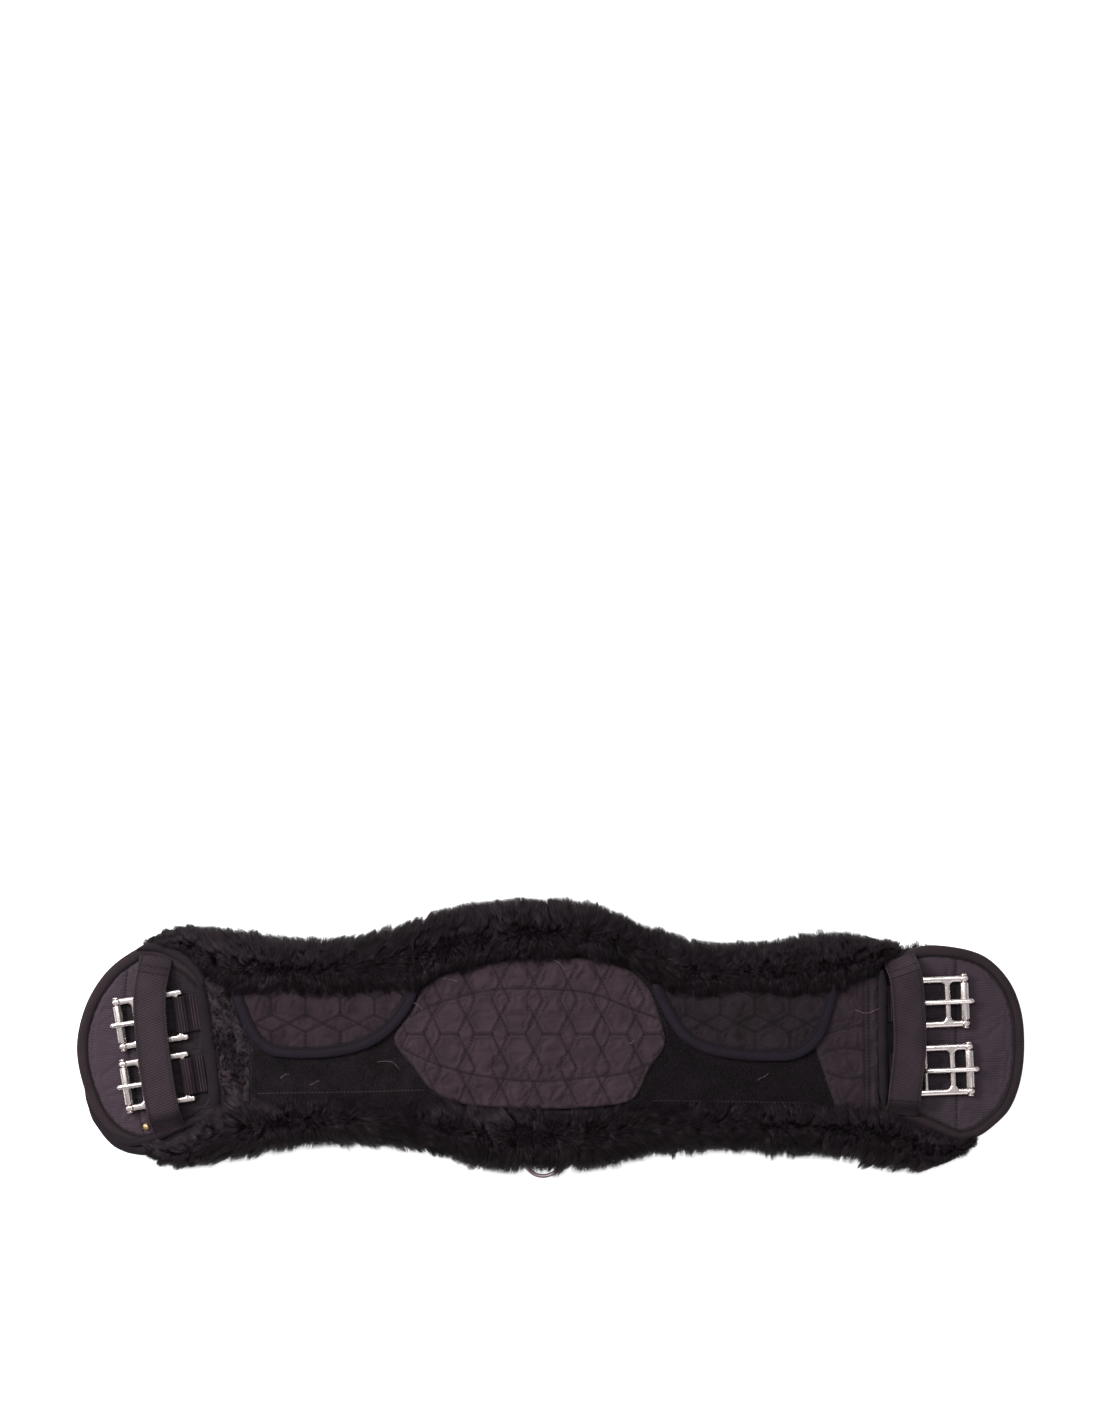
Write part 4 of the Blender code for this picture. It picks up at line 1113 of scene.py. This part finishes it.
def end_panel(side, mouth, join, inward):
    """A quilted end panel. The right one has two rows beside its mouth and seams fanning from the flap."""
    corners = [(mouth_at(mouth, y) + inward * 0.0029, y) for y in (PANEL_BACK, PANEL_FRONT)]
    corners += [(x - inward * 0.0003, y) for x, y in reversed(join)]
    if side == "right":
        lines = [[(mouth_at(mouth, y) + inward * offset, y) for y in (PANEL_BACK, PANEL_FRONT)]
                 for offset in (0.0105, 0.0140)]
        lines += [mm([(202, 1), (215, 6), (235.5, 10)]), mm([(207, -10), (220, -7), (235.5, -9)]),
                  mm([(209, -26), (222, -30), (235.5, -29)])]
    else:
        lines = [mm([(-242, 30), (-240, 8), (-238, -20), (-232, -44)]),
                 mm([(-238, 26), (-231, 4), (-228, -12)])]
    lines = [even(smooth(line, 3)) for line in lines]
    obj = padded_sheet(f"end_panel_{side}_quilt", np.array(corners), lines, END_COTTON[side],
                       low=PANEL_BOTTOM, seam_height=PANEL_TOP - 0.0004, cap=0.0026, pressure=4.0)
    thread = stitches(f"end_panel_{side}_stitches", lines, obj, THREAD)
    finish_quilt(obj, thread, "end_panel_" + side)
    if side == "left":
        shed_pile(np.array(corners))


def shed_pile(outline):
    """Hairs shed from the rolls, matted over the left end panel."""
    random = np.random.default_rng(55)
    seeds = scattered(random, 3500, outline, moved_aside(outline, 0.001, closed=True))

    def roots(places):
        return raised(places, PANEL_TOP + 0.0004)

    def tips(places):
        drift = np.column_stack([0.0030 * wobble(places, 0.016, 56), 0.0045 * wobble(places, 0.020, 57)])
        return raised(places + drift, PANEL_TOP + 0.0026 + 0.0006 * wobble(places, 0.007, 58))

    for piece in grow("end_panel_left_pile", seeds, roots, tips, random, tuft=0.004, width=0.00016):
        finish(piece)


def cover_edge(name, node, stations, material):
    """A soft bound edge of the cover through stations of (x, y, height, half width, half thickness)."""
    path = even(smooth(stations, 6), 0.002)
    shares = np.sqrt(np.clip(np.minimum(np.arange(len(path)), np.arange(len(path))[::-1]) / 5, 0.05, 1))
    lumps, sways = 0.00025 * wobble(path[:, :2], 0.011, 61), 0.0004 * wobble(path[:, :2], 0.03, 62)
    sections = []
    for (x, y, height, wide, thick), share, lump, sway in zip(path, shares, lumps, sways):
        sections.append([(aside * (wide + lump) + sway, height + rise * (thick + lump))
                         for aside, rise in circle(16, share)])
    obj = swept(name, path[:, :2], sections, material)
    subdivide(obj)
    finish(obj, node)


def cover_edges():
    """The piping at both mouths, and the navy edges that lap over or run beside each pad."""
    for side, mouth, wide in (("left", MOUTH_LEFT, 4.4), ("right", MOUTH_RIGHT, 3.4)):
        stations = [(x, y, 0.0280, wide * 0.001, 0.0027) for x, y in mouth]
        cover_edge(f"mouth_{side}_piping", "mouth_binding_" + side, stations, PIPING_CLOTH)
    edges = {
        "left_back": [
            (-313, 65.8, 24.8, 1.5, 1.2), (-305, 68.2, 25.3, 2.7, 1.5), (-296, 68.2, 25.7, 3.3, 1.7),
            (-286, 65.0, 26.0, 3.6, 1.8), (-274, 58.5, 26.5, 3.9, 2.0), (-264, 48, 27.2, 4.0, 2.2),
            (-262, 38, 27.8, 4.0, 2.2)],
        "left_front": [
            (-351.5, -36, 20.5, 1.0, 1.5), (-347, -51, 20.4, 2.2, 2.2), (-342.2, -62.8, 20.3, 3.0, 2.6),
            (-327, -79.4, 20.2, 3.9, 3.0), (-306, -84.8, 20.4, 4.2, 3.2), (-283, -79.5, 22.0, 4.6, 3.2),
            (-266, -69, 24.6, 4.2, 3.0), (-252, -58, 27.2, 4.0, 2.4)],
        "right_back": [
            (250, 56, 26.0, 3.6, 2.4), (258, 60.5, 23.0, 3.4, 2.6), (266, 64.5, 21.0, 3.0, 2.6),
            (273, 67, 20.0, 2.4, 2.0)],
        "right_front": [
            (247, -56, 26.8, 3.8, 2.4), (262, -62.5, 24.0, 4.4, 2.8), (286, -72.5, 21.6, 4.8, 3.0),
            (304, -79, 20.6, 4.6, 3.0), (315, -78, 20.4, 3.4, 2.8), (322, -74.8, 20.2, 2.0, 2.0)],
    }
    for place, stations in edges.items():
        cover_edge(f"cover_{place}_tape", "cover_binding_" + place, mm(stations), COVER_TAPE)
    lap = [(-249, -60, 27.2, 3.2, 1.8), (-260, -60.5, 26.6, 3.2, 1.6), (-275, -64.5, 25.8, 3.2, 1.5),
           (-290, -71.5, 25.5, 3.1, 1.4), (-303, -76.5, 25.4, 2.9, 1.4), (-318, -78.5, 25.3, 2.6, 1.4),
           (-331, -72, 25.2, 1.8, 1.2)]
    cover_edge("cover_left_front_lap", "cover_binding_left_front", mm(lap), COVER_TAPE)


def cover_base():
    """The cover's cloth between sheepskin and core, lying flat."""
    tongue_left = smooth(mm([(-302, -64), (-324, -45), (-333, -5), (-324, 32), (-302, 52)]), 3)
    tongue_right = smooth(mm([(300, 50), (325, 30), (332, -5), (326, -40), (304, -66)]), 3)
    back = long_edge(FLEECE_BACK, -1, -0.280, 0.255)
    front = long_edge(FLEECE_FRONT, 1, 0.280, -0.280)
    outline = np.vstack([back, tongue_right, front, tongue_left])
    flat, faces, _ = sheet_net(outline, [], 0.006)
    obj = slab("cover_base_cloth", faces, flat, raised(flat, BASE_TOP), BASE_BOTTOM, COVER_CLOTH)
    sharpen(obj, 50)
    finish(obj, "cover_base")


# ---- core ends -----------------------------------------------------------------------------------


def to_place(points, place):
    """Points of a buckle's own frame, with its roller's axis at the origin, in the row frame."""
    x, y, heading = BUCKLES[place]
    cosine, sine = math.cos(heading), math.sin(heading)
    points = np.array(points, float)
    return np.column_stack([x + cosine * points[:, 0] - sine * points[:, 1],
                            y + sine * points[:, 0] + cosine * points[:, 1], BUCKLE_HEIGHT + points[:, 2]])


def from_place(flat, place):
    """Plan points of the row frame, as x and y of a buckle's own frame."""
    x, y, heading = BUCKLES[place]
    cosine, sine = math.cos(heading), math.sin(heading)
    along, across = flat[:, 0] - x, flat[:, 1] - y
    return cosine * along + sine * across, cosine * across - sine * along


def end_pad(side, outline, turn):
    """A padded end: ribbed nylon with sewn lines, and the tape bound round it."""
    outer = smooth(outline, 5)
    face = moved_aside(outer, turn * PAD_TAPE_WIDTH * 0.85)
    inward = 1 if side == "left" else -1
    band = smooth(BAND_LEFT if side == "left" else BAND_RIGHT, 4)
    if side == "left":
        seams = [moved_aside(band, -BAND_WIDTH / 2 - 0.0075), moved_aside(band, 0.002)]
    else:
        seams = [np.array(mm([(305.0, 70), (306.0, -80)])), band]
    seams = [even(line) for line in seams]

    def shaded(flat):
        """Painted shadow: the cloth is painted nearly black inside the cover's mouth and within the buckles'
        windows, darkest near the roller.
        """
        past_band = inward * (flat[:, 0] - np.interp(flat[:, 1], band[::-1, 1], band[::-1, 0]))
        dark = 0.85 * ease(past_band, 0.004, 0.010)
        for place in BUCKLES:
            if place.startswith(side):
                x, y = from_place(flat, place)
                within = ease(x, -0.050, -0.044) * (1 - ease(x, -0.001, 0.003))
                within *= 1 - ease(np.abs(y), 0.0130, 0.0175)
                dark = np.maximum(dark, (0.62 + 0.25 * ease(x, -0.014, -0.009)) * within)
        return dark

    obj = padded_sheet(f"end_pad_{side}_nylon", face, seams, NYLON[side], low=PAD_BOTTOM,
                       seam_height=PAD_TOP - 0.0009, cap=0.0010, pressure=2.0, spacing=0.0022,
                       shaded=shaded, seam_shade=0.25)
    limit = moved_aside(even(face, 0.002, True), turn * 0.001, closed=True)
    thread = sewn(f"end_pad_{side}_stitches", seams, limit, obj)
    finish_quilt(obj, thread, "end_pad_" + side)
    binding, seam = tape(f"end_pad_{side}_tape", outer, PAD_TAPE_WIDTH, PAD_BOTTOM, PAD_TAPE_TOP, PAD_TAPE,
                         turn, dip=0.0005)
    seam_thread = stitches(f"end_pad_{side}_tape_stitches", seam, binding, THREAD, 0.0026)
    finish(binding, "end_binding_" + side)
    finish(seam_thread)


def keeper_band(side, centre_line, level_back, level_front):
    """Webbing over an end, sewn down at both ends and arched over the buckles."""
    foot = levels("keeper_band_" + side)[0]
    underside = BAND_TOP - BAND_THICKNESS
    path = even(smooth(centre_line, 6), 0.0025)
    half = BAND_WIDTH / 2
    sections = []
    for place, sag in zip(path, wobble(path, 0.04, 81)):
        y = place[1]
        rise = 1.0
        if y > level_back:
            rise = (path[0][1] - y) / (path[0][1] - level_back)
        elif y < level_front:
            rise = (y - path[-1][1]) / (level_front - path[-1][1])
        rise = np.clip(rise, 0, 1)
        z = foot + (underside - foot) * (3 * rise**2 - 2 * rise**3) + 0.0002 * sag * rise
        top = z + BAND_THICKNESS
        corner = [(half - 0.0004, top - 0.0002), (half - 0.0012, top), (half - 0.0020, top - 0.0003),
                  (half - 0.0028, top - 0.0001)]
        sections.append([(-half, z + 0.0009), (-half + 0.0004, z + 0.0002), (-half + 0.0016, z),
                         (half - 0.0016, z), (half - 0.0004, z + 0.0002), (half, z + 0.0009), *corner,
                         (0, top), *[(-aside, height) for aside, height in reversed(corner)]])
    obj = swept(f"keeper_{side}_webbing", path, sections, WEBBING[side])
    # Painted shade on the webbing's underside and sides, and in the two grooves along its top.
    paint_shade(obj, [0.3, 0.5, 0.6, 0.6, 0.5, 0.3, 0, 0.1, 0.7, 0.1, 0, 0.1, 0.7, 0.1, 0] * len(path))
    rows = []
    for end, step in ((0, 1), (-1, -1)):
        for distance in (3, 5):
            centre, left = path[end + step * distance], lefts(path)[end]
            rows.append(np.array([centre + left * aside for aside in np.linspace(-0.0105, 0.0105, 12)]))
    thread = stitches(f"keeper_{side}_stitches", rows, obj, THREAD, 0.0022, 0.0017)
    subdivide(obj)
    finish(obj, "keeper_band_" + side)
    finish(thread)


STRAP_EDGE = [(-1.0, 0.0), (-0.97, 0.8), (-0.90, 1.0), (-0.6, 1.0), (0.0, 1.0), (0.6, 1.0), (0.90, 1.0),
              (0.97, 0.8)]
STRAP_PROFILE = STRAP_EDGE + [(-across, -thick) for across, thick in STRAP_EDGE]


def side_swept(name, path, half_width, half_thickness, profile, place, material):
    """A closed strip along a path of (x, z) in the buckle's frame, with its width along Y."""
    half_width = np.broadcast_to(half_width, len(path))
    half_thickness = np.broadcast_to(half_thickness, len(path))
    points = [(px + out[0] * thick * tall, across * wide, pz + out[1] * thick * tall)
              for (px, pz), out, wide, tall in zip(path, lefts(path), half_width, half_thickness)
              for across, thick in profile]
    obj = mesh_object(name, to_place(points, place), lofted(len(path), len(profile)), [material])
    turn_outward(obj)
    return obj


def elastic(place):
    """A ribbed elastic strap folded round the buckle's rear bar. It stretches between girth and buckle."""
    half_length, half_height = REAR_BAR_HALF
    clear = GAP + WEBBING_THICKNESS / 2
    above = half_height + clear
    front = half_length + clear
    floor = ELASTIC_BOTTOM - BUCKLE_HEIGHT + WEBBING_THICKNESS / 2
    middle, half = (above + floor) / 2, (above - floor) / 2
    path = [(-0.0400, floor), (-0.0140, floor), (-0.0005, floor)]
    path += [(front - 0.0012 + 0.0012 * math.sin(a), middle - half * math.cos(a))
             for a in np.linspace(0.35, math.pi - 0.35, 7)]
    path += [(-0.0012, above), (-0.0040, above - 0.0005), (-0.0085, floor + 0.0022),
             (-0.0125, floor + 0.0013), (-0.0145, floor + 0.00125)]
    step = 0.0005
    path = even(smooth(path, 4), step)
    ribs = 0.00012 * np.cos(2 * math.pi * np.arange(len(path)) * step / 0.0021)
    path[:, 0] -= REAR_BAR
    heading = BUCKLES[place][2]
    material = ribbed_material(f"elastic_{place}", ELASTIC_COLOUR, 0.0021, -heading, depth=0.0003,
                               contrast=0.8)
    half_thickness = WEBBING_THICKNESS / 2 - 0.0001 + ribs
    obj = side_swept(f"{place}_elastic_strap", path, 0.0138, half_thickness, STRAP_PROFILE, place,
                     material)
    # Painted shade in the troughs between the ribs.
    paint_shade(obj, np.repeat(0.9 * ease(-ribs, -0.00002, 0.00010), len(STRAP_PROFILE)))
    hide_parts(f"{place}_elastic")
    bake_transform(obj)


def rounded_plate(loops, half_height, edge):
    """Mesh points and faces of a flat casting with fully rounded edges, centred on z = 0."""
    curve = bpy.data.curves.new("casting", "CURVE")
    curve.dimensions = "2D"
    curve.fill_mode = "BOTH"
    curve.extrude = half_height - edge
    curve.bevel_depth = edge
    curve.bevel_resolution = 5
    curve.offset = -edge
    for loop in loops:
        spline = curve.splines.new("POLY")
        spline.points.add(len(loop) - 1)
        for point, (x, y) in zip(spline.points, loop):
            point.co = (x, y, 0, 1)
        spline.use_cyclic_u = True
    helper = add_object("casting", curve)
    mesh = bpy.data.meshes.new_from_object(helper.evaluated_get(bpy.context.evaluated_depsgraph_get()))
    bpy.data.objects.remove(helper)
    solid = bmesh.new()
    solid.from_mesh(mesh)
    bmesh.ops.remove_doubles(solid, verts=solid.verts, dist=1e-6)
    points = [tuple(vertex.co) for vertex in solid.verts]
    faces = [tuple(vertex.index for vertex in face.verts) for face in solid.faces]
    solid.free()
    return points, faces


def filleted(corners, steps=5):
    """A polygon whose corners, given as (x, y, radius), are arcs."""
    outline = []
    for index, (x, y, radius) in enumerate(corners):
        here = np.array((x, y))
        back = np.array(corners[index - 1][:2]) - here
        ahead = np.array(corners[(index + 1) % len(corners)][:2]) - here
        back, ahead = back / np.linalg.norm(back), ahead / np.linalg.norm(ahead)
        half_angle = math.acos(np.clip(back @ ahead, -1, 1)) / 2
        centre = here + (back + ahead) / np.linalg.norm(back + ahead) * radius / math.sin(half_angle)
        start = here + back * radius / math.tan(half_angle) - centre
        end = here + ahead * radius / math.tan(half_angle) - centre
        sweep = math.atan2(start[0] * end[1] - start[1] * end[0], start @ end)
        for t in np.linspace(0, 1, steps + 1):
            cosine, sine = math.cos(sweep * t), math.sin(sweep * t)
            outline.append((centre[0] + start[0] * cosine - start[1] * sine,
                            centre[1] + start[0] * sine + start[1] * cosine))
    return outline


def dome(points, faces, centre, radius, height, squash=1.0):
    """Adds a closed lens-shaped boss, domed above and below."""
    start = len(points)
    around, tiers = 20, 9
    x, y = centre
    for tier in range(tiers):
        level = math.pi * (tier + 1) / (tiers + 1)
        for aside, along in circle(around, radius * math.sin(level) ** 0.7):
            points.append((x + aside, y + along * squash, height * math.cos(level)))
    faces += lofted(tiers, around, start=start)


def buckle_frame(place):
    """The cast frame: rounded rails and bars, bosses at the roller's ends, and the tongue's bar."""
    wide, inside_half = 0.0192, 0.0144
    boundary = filleted([
        (0.0026, -wide, 0.0020), (0.0026, -inside_half, 0.0010), (-0.0107, -inside_half, 0.0028),
        (-0.0107, inside_half, 0.0028), (0.0026, inside_half, 0.0010), (0.0026, wide, 0.0020),
        (-0.050, wide, 0.0022), (-0.050, inside_half + GAP, 0.0016), (-0.0465, inside_half + GAP, 0.0010),
        (-0.0465, -inside_half - GAP, 0.0010), (-0.050, -inside_half - GAP, 0.0016),
        (-0.050, -wide, 0.0022)])
    window = filleted([(-0.0150, -inside_half, 0.0032), (-0.0150, inside_half, 0.0032),
                       (-0.0435, inside_half, 0.0022), (-0.0435, -inside_half, 0.0022)])
    points, faces = rounded_plate([boundary, window], 0.0019, 0.0016)
    middle = (wide + inside_half) / 2
    for side in (-1, 1):
        dome(points, faces, (0.0, side * middle), 0.0034, 0.0031, 0.80)
    start = len(points)
    for y in np.linspace(-inside_half - 0.001, inside_half + 0.001, 6):
        points += [(x - TONGUE_BAR, y, z) for x, z in circle(14, TONGUE_BAR_RADIUS)]
    faces += lofted(6, 14, start=start)
    obj = mesh_object(f"{place}_cast_frame", to_place(points, place), faces, [NICKEL])
    turn_outward(obj)
    sharpen(obj, 60)
    even_shading(obj)
    finish(obj, f"{place}_frame", f"{place}_buckle")


def turned(name, profile, place, bored, groove=0.0):
    """A part turned about the roller's axis, from (radius, y) points. A groove runs along its surface."""
    around = 48
    largest = max(radius for radius, _ in profile)
    points = []
    for radius, y in profile:
        for step in range(around):
            angle = 2 * math.pi * step / around + 2.2
            ring = radius - groove * (step == 0 and radius > 0.9 * largest)
            points.append((ring * math.cos(angle), y, ring * math.sin(angle)))
    faces = lofted(len(profile), around, closed=bored)
    obj = mesh_object(name, to_place(points, place), faces, [NICKEL])
    turn_outward(obj)
    sharpen(obj, 50)
    return obj


def buckle_roller(place):
    """A rolled tube with its lengthwise seam and slightly rounded ends."""
    half, bore, radius = 0.0140, 0.00175, ROLLER_RADIUS
    end = [(radius, half - 0.0009), (radius - 0.0001, half - 0.0003), (radius - 0.0007, half), (bore, half)]
    profile = [(r, -y) for r, y in reversed(end)] + end
    obj = turned(f"{place}_rolled_tube", profile, place, True, groove=0.00022)
    finish(obj, f"{place}_roller", f"{place}_roller")


def buckle_pin(place):
    """The roller's pin, with a domed rivet head at each end."""
    neck, rim, end, shaft, head = 0.0194, 0.0198, 0.0208, 0.0015, 0.0026
    half = [(shaft, 0.0), (shaft, neck), (head, neck)]
    half += [(head * math.cos(a), rim + (end - rim) * math.sin(a))
             for a in np.linspace(0, math.pi / 2 - 0.1, 6)]
    profile = [(radius, -y) for radius, y in reversed(half[1:])] + half
    obj = turned(f"{place}_rivet_pin", profile, place, False)
    finish(obj, f"{place}_pin", f"{place}_buckle")


def buckle_tongue(place):
    """A round-edged tongue coiled about its bar, with a blunt rounded tip that rests on the roller."""
    half_width, half_thickness = 0.0018, 0.0010
    coil = TONGUE_BAR_RADIUS + GAP + half_thickness
    top = ROLLER_RADIUS + GAP + half_thickness
    path = [(coil * math.cos(angle) - TONGUE_BAR, coil * math.sin(angle))
            for angle in np.radians(np.linspace(395, 110, 20))]
    path += [(-0.0315, 0.0038), (-0.027, top - 0.0003), (-0.018, top), (-0.004, top),
             (0.0035, top - 0.0002), (0.0058, top - 0.0006), (0.0070, top - 0.0009)]
    path = even(smooth(path, 3), 0.0007)
    from_tip = np.cumsum(np.linalg.norm(np.diff(path[::-1], axis=0, prepend=path[-1:]), axis=1))[::-1]
    blunt = np.sqrt(np.clip(from_tip / 0.0018, 0.02, 1))
    obj = side_swept(f"{place}_coiled_tongue", path, half_width * blunt, half_thickness * blunt,
                     circle(14), place, NICKEL)
    finish(obj, f"{place}_tongue", f"{place}_tongue")


def d_ring():
    """A ring of round wire: a half circle in front, straight sides and a bar with rounded corners."""
    half, wire, bar, front, height = 0.0144, 0.0016, -0.084, -0.106, 0.0212
    middle = front + wire + half
    corner = 0.003
    path = [(half * math.cos(a), middle + half * math.sin(a)) for a in np.linspace(-math.pi, 0, 41)]
    for turn, side in ((0, 1), (math.pi / 2, -1)):
        path += [(side * (half - corner) + corner * math.cos(turn + a),
                  bar - corner + corner * math.sin(turn + a))
                 for a in np.linspace(0, math.pi / 2, 7)]
    path = [(D_RING_X + x, y) for x, y in path]
    sections = [circle(20, wire, height)] * len(path)
    # The wire's darkened nickel is a painted reflection of the dark fur round it.
    ring = swept("d_ring_wire", path, sections, NICKEL_PAINTED_DARK, closed=True)
    finish(ring, "d_ring", "d_ring")


def lint():
    """Stray light fibres caught on the cover, as thin bent hairs."""
    random = np.random.default_rng(91)
    places = [(-0.122, -0.021, PANEL_TOP, 0.018), (-0.178, -0.033, PANEL_TOP, 0.008),
              (-0.200, -0.029, PANEL_TOP, 0.007), (-0.103, 0.024, LENS_TOP - 0.001, 0.014),
              (-0.085, 0.045, LENS_TOP - 0.002, 0.030),
              (0.002, 0.056, LENS_TOP - 0.001, 0.018), (0.160, -0.029, PANEL_TOP, 0.010),
              (0.238, 0.022, PANEL_TOP + 0.0022, 0.018), (0.060, -0.002, LENS_TOP + 0.0002, 0.006)]
    points, faces = [], []
    for x, y, z, length in places:
        heading = random.uniform(-0.7, 0.7)
        bend = random.uniform(-0.25, 0.25) * length
        cosine, sine = math.cos(heading), math.sin(heading)
        faces += lofted(9, 3, start=len(points))[:-2]
        for t in np.linspace(-0.5, 0.5, 9):
            middle = bend * (1 - 4 * t * t) + 0.0003 * math.sin(9 * t + x * 100)
            for angle in FIBRE_ANGLES:
                aside = middle + LINT_RADIUS * math.cos(angle)
                points.append((x + cosine * t * length - sine * aside, y + sine * t * length + cosine * aside,
                               z + 0.0006 + LINT_RADIUS * math.sin(angle)))
    obj = mesh_object("stray_fibres", points, faces, [LINT])
    finish(obj)


def finish_cad_pieces():
    """Better materials for the CAD solids that stay."""
    finishes = {"core_foam": FOAM, "belt_back": PLAIN_WEBBING, "belt_front": PLAIN_WEBBING,
                "d_ring_chape": PLAIN_WEBBING, "hook_strip_left": HOOKS, "hook_strip_right": HOOKS,
                "rivet": BRASS}
    for node, material in finishes.items():
        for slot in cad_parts[node].material_slots:
            slot.material = material


# ---- stage ---------------------------------------------------------------------------------------


def stage():
    """A pale floor just under the girth, bright enough to photograph white."""
    span, level = 8.0, -0.0005
    points = [(x * span, y * span, level) for x, y in ((-1, -1), (1, -1), (1, 1), (-1, 1))]
    made = Material("studio_floor", 0.9, specular=0.1)
    soft = made.noise(made.place(), 0.8)
    made.colour(made.ramp(soft, [(0.3, (0.86, 0.86, 0.86)), (0.7, (0.88, 0.88, 0.88))]))
    made.shader.inputs["Emission Color"].default_value = (1, 1, 1, 1)
    made.shader.inputs["Emission Strength"].default_value = 0.75
    floor = mesh_object("floor", points, [(0, 1, 2, 3)], [made.material])


def light(name, place, size, power, colour=(1, 1, 1)):
    data = bpy.data.lights.new(name, "AREA")
    data.shape = "RECTANGLE"
    data.size, data.size_y = size
    data.energy = power
    data.color = colour
    obj = add_object(name, data)
    obj.location = place
    obj.rotation_euler = (Vector((0, 0, 0)) - Vector(place)).to_track_quat("-Z", "Y").to_euler()


def lighting():
    world = bpy.data.worlds.new("studio")
    world.use_nodes = True
    background = world.node_tree.nodes["Background"]
    background.inputs["Color"].default_value = (1.0, 0.99, 0.98, 1)
    background.inputs["Strength"].default_value = 0.32
    bpy.context.scene.world = world
    light("key", (-1.4, 0.8, 1.6), (1.1, 0.8), 58)
    light("overhead", (-0.2, 1.1, 3.2), (1.8, 0.9), 50)
    light("fill", (0.9, -1.2, 2.0), (1.6, 1.2), 8)
    bpy.context.scene.view_settings.view_transform = "Standard"


def camera():
    """Straight down from the photograph's height, with the girth in the frame's lower half."""
    data = bpy.data.cameras.new("camera")
    data.lens = 100
    data.sensor_width = 36
    data.clip_end = 20
    obj = add_object("camera", data)
    obj.location = (-0.0004, 0.2463, 3.0)
    bpy.context.scene.camera = obj


camera()
lighting()
stage()
cover_base()
lining()
fur_roll("fleece_roll_back", FLEECE_BACK, ROLL_BACK_INNER, start=-0.304, end=0.262, side=1,
         strands=92000, lean=0.0012)
fur_roll("fleece_roll_front", FLEECE_FRONT, ROLL_FRONT_INNER, start=-0.303, end=0.318, side=-1,
         strands=98000, lean=0.0013)
lens_panel()
cover_panels()
flap("left", FLAP_LEFT, centre_x=-0.158)
flap("right", FLAP_RIGHT, centre_x=0.154)
cover_edges()
end_pad("left", PAD_LEFT, turn=1)
end_pad("right", PAD_RIGHT, turn=-1)
keeper_band("left", BAND_LEFT, level_back=0.036, level_front=-0.054)
keeper_band("right", BAND_RIGHT, level_back=0.048, level_front=-0.046)
for buckle in BUCKLES:
    elastic(buckle)
    buckle_frame(buckle)
    buckle_pin(buckle)
    buckle_roller(buckle)
    buckle_tongue(buckle)
d_ring()
lint()
finish_cad_pieces()
